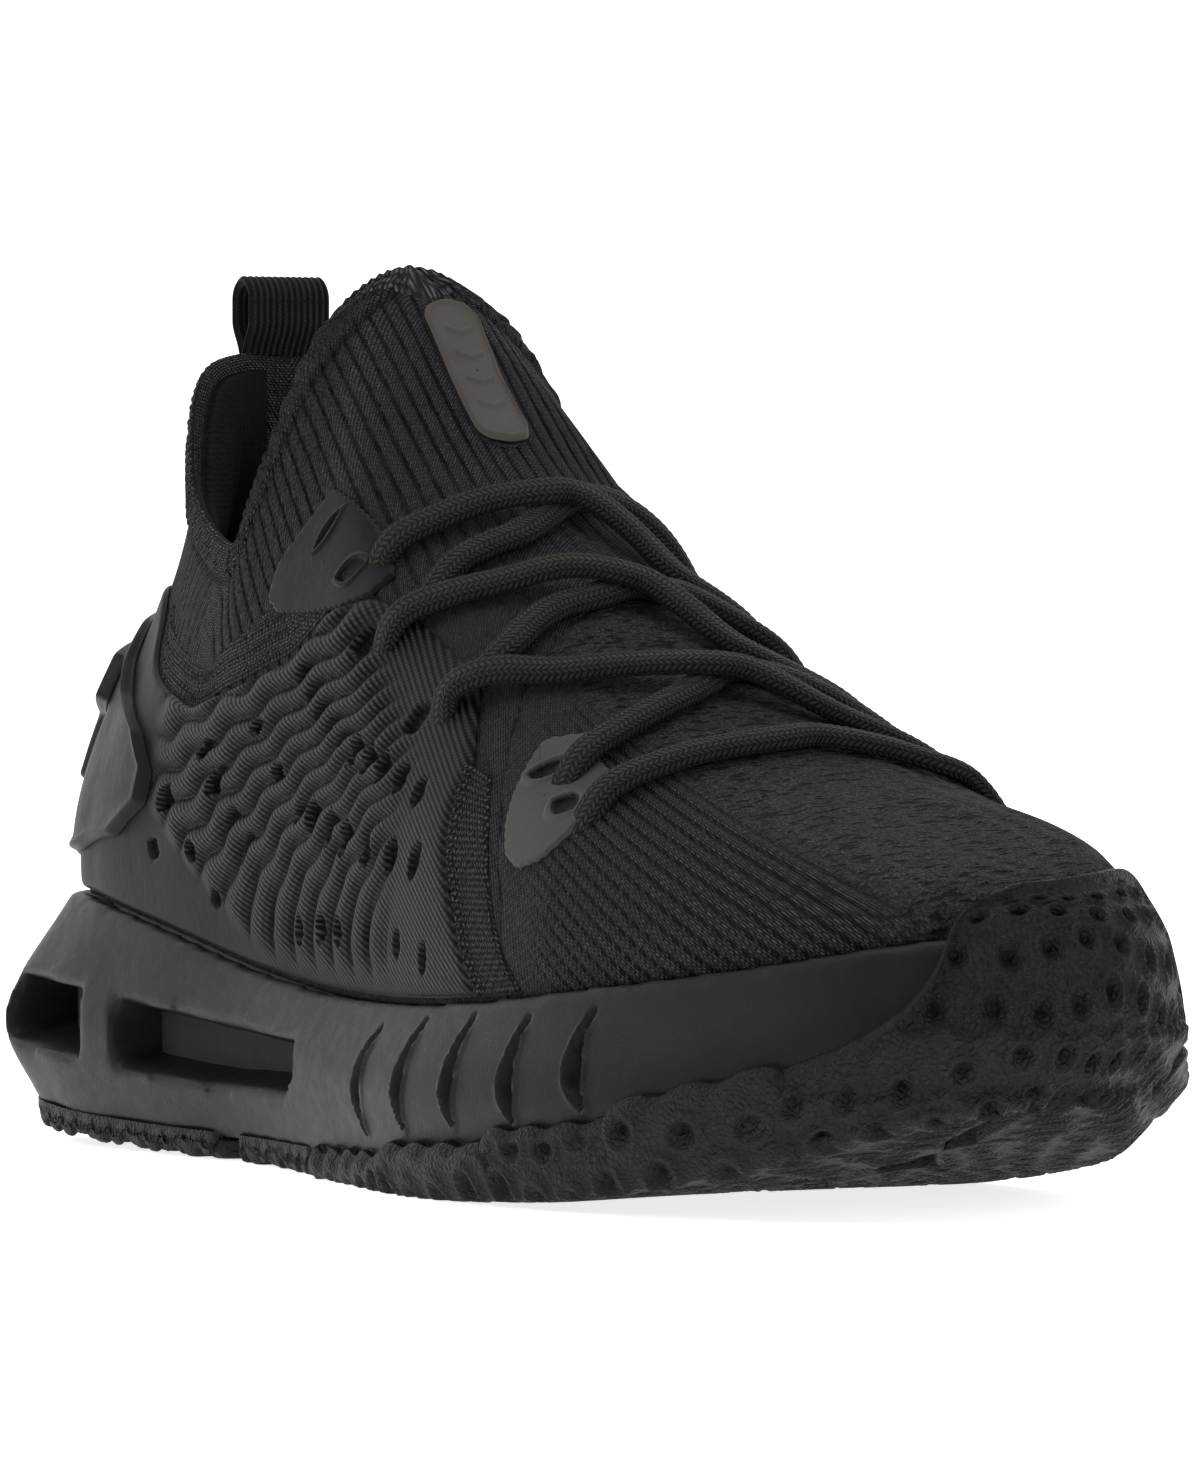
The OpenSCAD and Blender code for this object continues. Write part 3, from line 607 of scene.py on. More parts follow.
RIB_PITCH, TOE_RIB = 2.7, 3.1                # of the tongue's ribs and the toe knit's ladders, mm
LOOKS = {
    "rib": knit_look("rib_knit", (0.0022, 0.0020, 0.0026), (0.170, 0.158, 0.188), 0.9, 0.85, 0.45, 1.0,
                     RIB_PITCH),
    "toe": toe_look("toe_knit", (0.0022, 0.0020, 0.0024), (0.115, 0.106, 0.118)),
    "stitch": knit_look("stitch_band", (0.003, 0.003, 0.003), (0.10, 0.098, 0.10), 1.3, 1.1, 0.5, 1.3),
    "foam": rubber_look("midsole_foam", (0.0078, 0.0060, 0.0075), 0.42, 0.10),
    "rubber": rubber_look("outsole_rubber", (0.0085, 0.0080, 0.0085), 0.5, 0.10, scales=1.1),
    "panel": panel_look(),
    "counter": film_look("counter_gloss", (0.0060, 0.0048, 0.0056), 0.4, 0.0),
    "emblem": film_look("emblem_gloss", (0.0095, 0.0078, 0.009), 0.36, 0.0),
    "patch": film_look("patch_dark", (0.0060, 0.0048, 0.0064), 0.36, 0.0),
    "grey_patch": film_look("patch_grey", (0.040, 0.036, 0.035), 0.4, 0.05),
    "badge": rubber_look("badge_rubber", (0.050, 0.044, 0.041), 0.55, 0.15),
    "lace": braid_look("lace_braid", (0.0012, 0.0012, 0.001), (0.038, 0.037, 0.034), 0.85, 0.4),
    "webbing": webbing_look(),
    "core": mesh_cloth_look("core_mesh", (0.004, 0.004, 0.005), (0.05, 0.05, 0.055), 1.3, 0.4),
    "lining": mesh_cloth_look("lining_cloth", (0.0015, 0.0015, 0.0017), (0.005, 0.005, 0.0055), 0.9, 0.2),
    "strobel": mesh_cloth_look("strobel_cloth", (0.30, 0.28, 0.23), (0.55, 0.52, 0.45), 0.8, 0.1),
    "stiffener": rubber_look("stiffener_board", (0.03, 0.03, 0.031), 0.7, 0.1),
    "aglet": film_look("aglet_plastic", (0.008, 0.008, 0.008), 0.3, 0.5),
    "foam_core": rubber_look("core_foam", (0.02, 0.02, 0.022), 0.7, 0.3),
}


# ---- the knit skin ---------------------------------------------------------

SIDE_N, RISE_N, FRONT_N = 321, 111, 181     # points round the collar, up the side, along the instep
OVERLOCK_U = 0.3225                         # where the sock ends and the toe knit starts
PANEL_TOP = [(0, 0.6), (0.04, 0.6), (0.07, 0.655), (0.086, 0.64), (0.104, 0.585), (0.121, 0.54),
             (0.14, 0.56), (0.178, 0.565), (0.205, 0.51), (0.226, 0.475), (0.25, 0.485), (0.266, 0.53),
             (0.276, 0.575), (0.29, 0.59), (0.312, 0.59)]


def panel_top(u):
    """Height of the quarter panel's top edge round each side."""
    x, y = np.array(PANEL_TOP).T
    even = np.interp(np.linspace(0, x[-1], 60), x, y)
    soft = np.convolve(np.pad(even, 2, "edge"), np.ones(5) / 5, "valid")
    return np.interp(np.abs(u), np.linspace(0, x[-1], 60), soft)


class Skin:
    """The outside of the upper as one mesh, with the crest of the tongue and instep rounded off."""

    def __init__(self):
        side_u, side_v = np.meshgrid(np.linspace(-0.25, 0.25, SIDE_N), np.linspace(0, 1, RISE_N),
                                     indexing="ij")
        front_u, front_w = np.meshgrid(np.linspace(0.25, 0.5, FRONT_N), np.linspace(-1, 1, 2 * RISE_N - 1),
                                       indexing="ij")
        side, front = grid_of(upper, side_u, side_v), grid_of(arch, front_u, front_w)
        middle = RISE_N - 1
        row_u = front_u[:, 0]
        one = np.ones_like(row_u)
        front[:, middle] = (upper(row_u, one) + upper(1 - row_u, one)) / 2
        self.number(side_u.shape, front_u.shape, middle)
        down = lambda s: arc_along(s[:, ::-1], 1)[:, ::-1]
        left, right = front[:, :middle + 1], front[:, middle:]
        fall = np.concatenate([down(left), arc_along(right, 1)[:, 1:]], 1)
        half = SIDE_N // 2
        back = np.concatenate([arc_along(side[:half], 0), arc_along(side[half:][::-1], 0)[::-1]])
        w_side = np.where(side_u > 0, side_v - 1, 1 - side_v)
        gather = lambda a, b: np.concatenate([a.ravel(), b.ravel()])[self.keep]
        self.points = np.concatenate([side.reshape(-1, 3), front.reshape(-1, 3)])[self.keep]
        self.u = gather(side_u, front_u)
        self.w = gather(w_side, front_w)
        self.fall = gather(down(side), fall)
        self.along = gather(-back, arc_along(front, 0))
        self.round_off()
        self.normal = self.normals()
        self.tree = BVHTree.FromPolygons(self.points.tolist(), self.faces.tolist())
        self.edge_distance()

    def number(self, side_shape, front_shape, middle):
        """Joins the two grids: the same number for points that meet."""
        side = np.arange(np.prod(side_shape)).reshape(side_shape)
        front = side.size + np.arange(np.prod(front_shape)).reshape(front_shape)
        root = np.arange(side.size + front.size)
        root[front[0, :middle + 1]] = side[-1]
        root[front[0, middle + 1:]] = side[0, ::-1][1:]
        root[side[0, -1]] = side[-1, -1]
        root[front[-1, middle + 1:]] = front[-1, :middle][::-1]
        self.keep, new = np.unique(root, return_inverse=True)
        self.faces = np.concatenate([new[quads(*side_shape)], new[quads(*front_shape) + side.size]])
        self.rim = new[side[:, -1]]
        self.sole_rim = np.concatenate([new[side[:, 0]], new[front[:, 0]], new[front[:, -1]]])

    def round_off(self, passes=90):
        """Averages neighbours near the crest, along the opening only where the opening passes over it."""
        pairs = np.concatenate([self.faces[:, [0, 1]], self.faces[:, [1, 2]], self.faces[:, [2, 3]],
                                self.faces[:, [3, 0]]])
        pairs = np.unique(np.sort(pairs, 1), axis=0)
        on_rim = np.zeros(len(self.points), bool)
        on_rim[self.rim] = True
        pairs = pairs[on_rim[pairs[:, 0]] == on_rim[pairs[:, 1]]]
        weight = step(-np.abs(self.w), -0.42, -0.16) * step(np.abs(self.u), 0.212, 0.235)
        a, b = pairs.T
        count = np.bincount(a, minlength=len(on_rim)) + np.bincount(b, minlength=len(on_rim))
        p = self.points
        for _ in range(passes):
            total = [np.bincount(a, p[b, k], len(p)) + np.bincount(b, p[a, k], len(p)) for k in range(3)]
            mean = np.stack(total, -1) / np.maximum(count, 1)[:, None]
            p = p + 0.7 * weight[:, None] * (mean - p)
        self.points = p

    def normals(self):
        p, f = self.points, self.faces
        across = np.cross(p[f[:, 2]] - p[f[:, 0]], p[f[:, 3]] - p[f[:, 1]])
        total = np.zeros_like(p)
        for corner in range(4):
            for k in range(3):
                total[:, k] += np.bincount(f[:, corner], across[:, k], len(p))
        return unit(total)

    def edge_distance(self):
        """For each point, how far the opening's edge is, and where along it."""
        rim = self.points[self.rim]
        place = np.concatenate([[0], np.cumsum(np.linalg.norm(np.diff(rim, axis=0), axis=1))])
        self.edge = np.full(len(self.points), 99.0)
        self.edge_place = np.zeros(len(self.points))
        near = np.where((self.fall < 40) & (np.abs(self.u) < 0.28))[0]
        for part in np.array_split(near, 40):
            gaps = np.linalg.norm(self.points[part, None] - rim[None], axis=2)
            best = gaps.argmin(1)
            self.edge[part] = gaps[np.arange(len(part)), best]
            self.edge_place[part] = place[best]

    def settle(self, points):
        """The nearest places on the skin to some points, and the skin's normals there."""
        flat = points.reshape(-1, 3)
        place, normal = np.empty_like(flat), np.empty_like(flat)
        for i, p in enumerate(flat):
            spot, _, face, _ = self.tree.find_nearest(Vector(p))
            place[i] = spot
            corners = self.faces[face]
            nearness = 1 / (np.linalg.norm(self.points[corners] - place[i], axis=1) + 1e-3)
            normal[i] = (self.normal[corners] * nearness[:, None]).sum(0)
        return place.reshape(points.shape), unit(normal).reshape(points.shape)

    def part(self, name, chosen, height, material, uv, values):
        """Closed piece of knit from the chosen faces."""
        used, faces = np.unique(self.faces[chosen], return_inverse=True)
        faces = faces.reshape(-1, 4)
        outer = self.points[used] + self.normal[used] * height[used, None]
        rounding = 1.1 * (1 - step(self.edge[used], 0, 1.6))
        inner = self.points[used] - self.normal[used] * (KNIT_T - rounding)[:, None]
        n = len(used)
        rim = boundary(faces)
        sides = np.stack([rim[:, 1], rim[:, 0], rim[:, 0] + n, rim[:, 1] + n], -1)
        faces = np.concatenate([faces, faces[:, ::-1] + n, sides])
        both = lambda a: np.concatenate([a[used], a[used]])
        values = {k: both(v) for k, v in values.items()}
        return mesh_object(name, np.concatenate([outer, inner]), faces, material, both(uv), values)


def boundary(faces):
    """Edges that only one face has, in that face's direction."""
    edges = np.concatenate([faces[:, [0, 1]], faces[:, [1, 2]], faces[:, [2, 3]], faces[:, [3, 0]]])
    key = np.sort(edges, 1)
    _, first, count = np.unique(key, axis=0, return_index=True, return_counts=True)
    return edges[first[count == 1]]


TONGUE_AXIS = np.array([0.67, 0.0, 0.74])       # square to the tongue's crest in the side view
TONGUE_TOP = np.array([-62.0, 0.0, 148.5])


def rib_place(points):
    """Distance round the tongue, measured across its ribs."""
    below = -(points - TONGUE_TOP) @ TONGUE_AXIS
    return 30 * np.arctan2(points[:, 1], 32 - below)


def groove(place, pitch, width):
    """1 in the middle of a groove, once in each pitch."""
    return np.exp(-(((place / pitch) % 1 - 0.5) / width) ** 2)


def sock_relief(skin):
    """Collar and tongue: height in mm with ribs and a folded hem, where the ribs are and show, and the
    painted shade in the hem seam's groove.
    """
    p = skin.points
    on_tongue = p[:, 0] > -74
    place = np.where(on_tongue, rib_place(p), skin.along)
    fade = np.where(on_tongue, 1 - 0.75 * step(p[:, 0], -25, 5), 0.45) * step(np.abs(p[:, 0] + 74), 0, 5)
    hem = 1 - step(skin.edge, 5.0, 5.8)
    covered = step(panel_top(skin.u) - (1 - np.abs(skin.w)), 0.0, 0.03) * (np.abs(skin.u) < 0.315)
    ribbed = fade * (1 - hem) * (1 - covered)
    seam = np.exp(-((skin.edge - 6.2) / 0.7) ** 2)
    pleats = 0.3 * np.cos(2 * np.pi * skin.edge_place / 1.9)
    rounding = -1.0 * (1 - np.sqrt(np.clip(1 - (1 - np.clip(skin.edge / 1.8, 0, 1)) ** 2, 0, 1)))
    height = -0.4 * groove(place, RIB_PITCH, 0.16) * ribbed + hem * (0.45 + pleats) + rounding - 0.4 * seam
    # The seam's groove is painted dark: painted shade.
    return height * (1 - covered) - 0.25 * covered, {"shaded_pit": 0.5 * seam, "rib": place, "ribbed": ribbed}


def toe_zones(skin):
    """Where the toe knit has ladders (its flanks) and where it has dashes (its crown)."""
    ahead = step(skin.u, 0.43, 0.46)
    flank = step(skin.fall, 22, 34) * step(skin.u, 0.325, 0.345) * (1 - ahead)
    crown = np.maximum(1 - step(skin.fall, 24, 34), ahead) * step(skin.u, 0.31, 0.33)
    return flank, crown


def toe_height(skin, flank):
    """Relief of the toe knit: soft ribs along the foot on its flanks."""
    wave = np.cos(2 * np.pi * skin.fall / TOE_RIB)
    lump = 0.2 * np.sin(skin.along / 3.1) * np.sin(skin.fall / 2.3) * (1 - flank)
    return 0.26 * wave * flank + lump - 0.1


def make_knit(skin):
    faces_u = skin.u[skin.faces].mean(1)
    front = (np.abs(skin.u[skin.faces]).max(1) > 0.2501) & (faces_u > OVERLOCK_U)
    uv = np.stack([skin.fall * np.sign(skin.w), skin.along], -1)
    height, values = sock_relief(skin)
    sock = skin.part("knit_sock", ~front, height, LOOKS["rib"], uv, values)
    grow_up(sock, None, ["knit_collar"])
    flank, crown = toe_zones(skin)
    toe = skin.part("toe_knit", front, toe_height(skin, flank), LOOKS["toe"], uv,
                    {"flank": flank, "crown": crown})
    grow_up(toe, None, ["knit_vamp"])


# ---- overlays --------------------------------------------------------------


def side_uv(x, z, side=-1):
    """Place (u, w) on one side of the upper that shows at (x, z) in a side view."""
    u, v = np.meshgrid(np.linspace(0.0, 0.45, 181), np.linspace(0.0, 0.97, 98), indexing="ij")
    p = grid_of(upper, u, v)
    start = [np.hypot(p[..., 0] - a, p[..., 2] - b).argmin() for a, b in zip(np.ravel(x), np.ravel(z))]
    u, v = u.ravel()[start], v.ravel()[start]
    e = 0.002
    for _ in range(4):
        here = upper(u, v)[:, [0, 2]]
        du = (upper(u + e, v)[:, [0, 2]] - here) / e
        dv = (upper(u, v + e)[:, [0, 2]] - here) / e
        miss = np.stack([np.ravel(x), np.ravel(z)], -1) - here
        det = du[:, 0] * dv[:, 1] - du[:, 1] * dv[:, 0]
        det = np.where(np.abs(det) < 1e-3, 1e9, det)
        u = u + np.clip((miss[:, 0] * dv[:, 1] - miss[:, 1] * dv[:, 0]) / det, -0.01, 0.01)
        v = np.clip(v + np.clip((du[:, 0] * miss[:, 1] - du[:, 1] * miss[:, 0]) / det, -0.03, 0.03), 0, 1)
    return u, np.where(side < 0, v - 1, 1 - v)


def rounded_outline(outline, spacing, corner):
    """Even points round a closed outline, its corners rounded to about this radius."""
    outline = np.asarray(outline, float)
    closed = np.concatenate([outline, outline[:1]])
    place = np.concatenate([[0], np.cumsum(np.linalg.norm(np.diff(closed, axis=0), axis=1))])
    n = int(place[-1] / spacing) // 4 * 4
    even = np.linspace(0, place[-1], n, endpoint=False)
    edge = np.stack([np.interp(even, place, closed[:, k]) for k in range(2)], -1)
    reach = max(1, int(corner / spacing))
    return sum(np.roll(edge, k, 0) for k in range(-reach, reach + 1)) / (2 * reach + 1)


def disc_grid(outline, rings, teeth=0.0, spacing=0.45, corner=1.2):
    """Grid over a flat outline (closed list of points): rings from the middle out, u round it."""
    edge = rounded_outline(outline, spacing, corner)
    tangent = np.roll(edge, -1, 0) - np.roll(edge, 1, 0)
    out = unit(np.stack([tangent[:, 1], -tangent[:, 0]], -1))
    edge = edge + out * teeth * np.where(np.arange(len(edge)) % 4 < 2, 1, -1)[:, None]
    middle = edge.mean(0)
    t = np.linspace(0.02, 1, rings)[None, :, None]
    return middle + (edge[:, None] - middle) * t


def patch(name, skin, outline, side, high, low, material, rings=24, teeth=0.0, relief=None, to_uw=None):
    """Flat piece lying on the skin, drawn in the side view."""
    flat = disc_grid(outline, rings, teeth)
    u, w = (to_uw or side_uv)(flat[..., 0], flat[..., 1], side)
    u, w = u.reshape(flat.shape[:2]), w.reshape(flat.shape[:2])
    base, normal = skin.settle(grid_of(arch, u, w))
    edge = rounded_edge((flat.shape[0], 2 * rings), 3, True)[:, rings:]
    height = low + (high - low) * (0.35 + 0.65 * edge)
    # The relief also says where the piece is painted dark as painted shade, in its holes.
    shaded_pit = np.zeros(flat.shape[:2])
    if relief:
        change, shaded_pit = relief(flat)
        height = height + change
    return shell(name, base, normal, height, low, material, True, flat, {"shaded_pit": shaded_pit}, True)


def leaf(x, z, at, length, width, lean):
    """1 inside a leaf-shaped slot in the side view, 0 outside: lean is its angle above the x axis."""
    c, s = math.cos(math.radians(lean)), math.sin(math.radians(lean))
    along = ((x - at[0]) * c + (z - at[1]) * s) / (length / 2)
    across = (-(x - at[0]) * s + (z - at[1]) * c) / (width / 2)
    shape = 1 - along ** 2 - np.abs(across)
    return step(shape, -0.06, 0.16)


# Leaf slots of the quarter panel: (x, z), length, width, lean in degrees
SLOTS = (
    [((x, z), 6.5, 2.0, 28) for x, z in [(-27, 80), (-22, 77), (-18, 74), (-13, 71.5), (-8, 69.5)]]
    + [((x, z), 5.6, 3.0, 58) for x, z in [(-2, 67.5), (4, 66.2), (10, 65), (17, 63.5), (24.5, 61.5)]]
    + [((x, z), 6.4, 3.4, 66) for x, z in [(-17, 57), (-9, 55.3), (-2, 54), (8, 52.6), (18, 51.6),
                                           (28, 51)]]
    + [((-42, 71), 5, 1.8, 20), ((-33, 64), 5, 1.8, 35), ((-23, 57.5), 5, 1.8, 50)]
    + [((-62, 67), 6, 2.6, 25), ((-57, 62), 8, 3.2, 30), ((-51, 56), 6, 2.4, 45), ((-45, 51.5), 6, 2, 60)]
    + [((-78, 59), 8, 2.8, 35), ((-84, 50.5), 5, 3.2, -20), ((-67, 50.5), 4.5, 3.6, 20),
       ((-59, 43), 3.6, 3, 10)]
    + [((x, z), 5.2, 2.4, 84) for x, z in [(-35, 40), (-22, 39), (-12, 39.6), (-4, 39.4), (9, 39), (22, 38),
                                           (34, 36.5)]]
    + [((-9.5, 84.5), 6, 3.8, 40), ((15.5, 72.5), 6, 3.8, 40)])
# Coefficients of rib_count, from a least-squares fit that another program made
RIB_FIT = np.array([8.01, 5.41, -5.6, 0.39, -0.69, -1.44, 0.34, -0.4, 1.14, -0.26])


def rib_count(x, z):
    """Which rib of the quarter panel passes (x, z), counted forward from the rear one."""
    a, b = x / 50, (z - 60) / 25
    terms = [np.ones_like(a), a, b, a * a, a * b, b * b, a * a * b, a * b * b, b ** 3, a ** 3]
    return np.tensordot(RIB_FIT, np.stack(terms), 1)


def panel_relief(x, z, v):
    """Height, how lit the ribs are (a painted highlight), slots (painted dark as painted shade), and where
    the twill shows on the quarter panel.
    """
    wiggle = 0.15 * np.sin(2 * np.pi * (0.72 * x + 1.0 * z) / 15.0)
    ribs = rib_count(x, z) + wiggle * step(z, 40, 54)
    rear = step(x + 86 - np.maximum(0, 58 - z) * 1.9, -4, 6)
    fore = 1 - step(x - 14 + np.maximum(0, z - 68) * 1.4, -6, 8)
    low = step(v, 0.02, 0.09)
    strong = rear * fore * low
    crest = np.abs(np.sin(np.pi * ribs)) ** 0.75
    height = strong * (1.6 * crest - 0.45)
    shaded_pit = np.zeros_like(x)
    for at, length, width, lean in SLOTS:
        shaded_pit = np.maximum(shaded_pit, leaf(x, z, at, length * 1.05, width * 1.1, lean))
    # Painted highlight: the rib crests are lit, the plain parts half lit.
    lit = 0.55 * (1 - strong) + strong * crest
    return height - 1.6 * shaded_pit, lit, step(shaded_pit, 0.25, 0.6), rear


def quarter_panel(side):
    s, t = np.meshgrid(np.linspace(0, 1, 400), np.linspace(0, 1, 120), indexing="ij")
    top = panel_top(s * 0.312)
    v = 0.012 + t * (top - 0.012)
    front = line_at([0.311, 0.3065, 0.303, 0.302, 0.306, 0.312, 0.312, 0.311], v.ravel() / 0.6)
    u = s * front.reshape(v.shape)
    base, normal = base_on(arch, u, side_w(v, side))
    relief, rib, shaded_pit, twill = panel_relief(base[..., 0], base[..., 2], v)
    edge = rounded_edge(s.shape, 4)
    name = "quarter_panel_" + WORD[side]
    rise = np.maximum(0.15, 0.3 + 0.75 * edge + relief * edge)
    ribs = rib_count(base[..., 0], base[..., 2])
    uv = np.stack([ribs * 4.5, 0.55 * base[..., 0] + 0.85 * base[..., 2]], -1)
    # The rib values are the painted highlight on the rib crests, the pit values the painted shade in the
    # slots.
    obj = shell(name + "_textile", base, normal, rise, 0.02, LOOKS["panel"], uv=uv,
                values={"rib": rib, "shaded_pit": shaded_pit, "twill": twill})
    grow_up(obj, None, [name])


# Overlock seam in front of each quarter panel: u of its rear and front edge from the sole up
SEAM_REAR = [0.3115, 0.3065, 0.3045, 0.303, 0.3065, 0.3105]
SEAM_FRONT = [0.3285, 0.3225, 0.3195, 0.3185, 0.3185, 0.3185]


def overlock(side):
    s, t = np.meshgrid(np.linspace(0, 1, 130), np.linspace(0, 1, 30), indexing="ij")
    v = 0.01 + 0.42 * s
    rear = line_at(SEAM_REAR, s.ravel()).reshape(s.shape)
    fore = line_at(SEAM_FRONT, s.ravel()).reshape(s.shape)
    u = rear + (fore - rear) * t
    base, normal = base_on(arch, u, side_w(v, side))
    place = arc_along(base, 0)
    across = arc_along(base, 1)
    rope = np.exp(-((across - 2.1) / 1.5) ** 2)
    twist = np.abs(np.sin(np.pi * (place + 0.9 * across) / 1.7))
    bone = np.abs(np.sin(np.pi * (place - 0.8 * across) / 2.0)) * step(across, 3.8, 4.6)
    height = 0.45 + rope * (0.5 + 0.75 * twist) + 0.3 * bone
    edge = rounded_edge(s.shape, 3)
    name = "overlock_seam_" + WORD[side]
    obj = shell(name, base, normal, 0.1 + height * edge, -0.3, LOOKS["stitch"],
                uv=np.stack([across, place], -1), values={"shaded_pit": 0.0})
    grow_up(obj, None, ["vamp_seam_tape"])


def collar_stitch(side, skin):
    """Two rows of cover stitch along the lower edge of the collar knit."""
    s, t = np.meshgrid(np.linspace(0, 1, 220), np.linspace(0, 1, 22), indexing="ij")
    u = 0.108 + 0.149 * s
    v = panel_top(u) + 0.012 + (0.075 + 0.03 * (1 - s)) * t
    base, normal = skin.settle(grid_of(arch, u, side_w(v, side)))
    place, across = arc_along(base, 0), arc_along(base, 1)
    zig = np.abs(((place / 2.6) % 1) * 2 - 1)
    rows = groove(across + 1.1 * zig, 3.1, 0.22)
    height = 0.12 + 0.42 * rows * (0.6 + 0.4 * np.sin(place * 5.5))
    edge = rounded_edge(s.shape, 3)
    name = "collar_stitch_" + WORD[side]
    obj = shell(name, base, normal, height * edge, -0.5, LOOKS["stitch"],
                uv=np.stack([across, place], -1), values={"shaded_pit": 0.0})
    grow_up(obj, REAR)


COUNTER_EDGE = [(0, 0.6), (0.035, 0.6), (0.062, 0.57), (0.073, 0.505), (0.096, 0.45), (0.126, 0.42),
                (0.139, 0.36), (0.138, 0.28), (0.12, 0.17), (0.085, 0.1), (0.045, 0.062), (0, 0.05)]


def both_sides(half):
    """Closed outline from its half at u > 0."""
    half = np.asarray(half, float)
    return np.concatenate([half, (half * [-1, 1])[-2:0:-1]])


def heel_plate(name, outline, low, high, rim, material, stands_for, groove_at=None):
    """Plate round the heel drawn in (u, v), with a bevelled rim this many mm wide."""
    scale = np.array([560.0, 105.0])            # about how many mm one unit of u and v spans
    flat = disc_grid(np.asarray(outline) * scale, 46, 0, 0.7) / scale
    u, v = flat[..., 0] % 1.0, flat[..., 1]
    base, normal = base_on(upper, u, v)
    inward = arc_along(base[:, ::-1], 1)[:, ::-1]
    bevel = step(inward, 0, rim)
    lip = np.exp(-((inward - rim) / 0.8) ** 2)
    height = low + (high - low) * (0.15 + 0.85 * bevel) + 0.3 * lip
    height = height - 0.35 * step(inward, rim + 0.6, rim + 3)
    if groove_at is not None:
        height = height - groove_at(flat * scale)
    obj = shell(name, base, normal, height, low, material, True, flat * scale, {"shaded_pit": 0.0}, True)
    return grow_up(obj, REAR, stands_for)


def heel_pieces():
    heel_plate("heel_counter_plate", both_sides(COUNTER_EDGE), 1.1, 2.9, 1.8, LOOKS["counter"],
               ["heel_counter"])
    shield = both_sides([(0, 0.54), (0.03, 0.54), (0.064, 0.485), (0.068, 0.4), (0.054, 0.35), (0.054, 0.22),
                         (0.03, 0.15), (0.0, 0.13)])

    def chevrons(flat):
        rise = flat[..., 1] - 0.55 * np.abs(flat[..., 0])
        inside = np.abs(flat[..., 0]) < 19
        return 0.7 * groove(rise, 8.0, 0.12) * inside
    heel_plate("heel_emblem_shield", shield, 2.6, 5.2, 1.4, LOOKS["emblem"],
               ["heel_emblem"], chevrons)


# Eyelet patches in the side view, (x, z)
UPPER_PATCH = [(-37, 109.5), (-31, 107.5), (-24, 104), (-16, 98.5), (-12.5, 95), (-15, 92), (-22, 90.2),
               (-32, 89.3), (-43, 89.2), (-47.5, 91.5), (-46.5, 97), (-41, 104)]
TOE_PATCH = [(46, 70), (51, 71), (57, 67.5), (62, 65.6), (66, 63.5), (68, 60), (68.5, 56), (66, 52.3),
             (61, 50.6), (56.5, 52.5), (53, 57), (50.5, 61.5), (48.5, 65.5)]
SLOT_HOLE = ((-33.5, 102.5), 7.5, 1.7, 62)
EYELETS = {"upper": [((-22.5, 96), 6.5, 3.6, 25)],
           "toe": [((53.5, 65.2), 6.5, 3.2, 15), ((63, 60), 6.0, 3.2, -10)]}


def eyelet_relief(holes):
    """Pits painted dark as painted shade, with a thin raised lip at each eyelet."""
    def relief(flat):
        change = np.zeros(flat.shape[:2])
        shaded_pit = np.zeros(flat.shape[:2])
        for at, length, width, lean in holes:
            hole = leaf(flat[..., 0], flat[..., 1], at, length, width, lean)
            around = leaf(flat[..., 0], flat[..., 1], at, length + 2, width + 1.8, lean)
            change = change + 0.35 * around - 0.7 * hole
            # Painted shade in the eyelet holes.
            shaded_pit = np.maximum(shaded_pit, step(hole, 0.4, 0.7))
        return change, shaded_pit
    return relief


def eyelet_patches(skin):
    for side, word in WORD.items():
        obj = patch("eyelet_film_upper_" + word, skin, UPPER_PATCH, side, 0.75, -0.3, LOOKS["patch"], 60,
                    0.12, eyelet_relief([SLOT_HOLE] + EYELETS["upper"]))
        grow_up(obj, REAR, ["eyelet_patch_upper_" + word])
        obj = patch("eyelet_film_toe_" + word, skin, TOE_PATCH, side, 0.75, -0.3, LOOKS["grey_patch"], 50,
                    0.12, eyelet_relief(EYELETS["toe"]))
        grow_up(obj, None, ["eyelet_patch_toe_" + word])


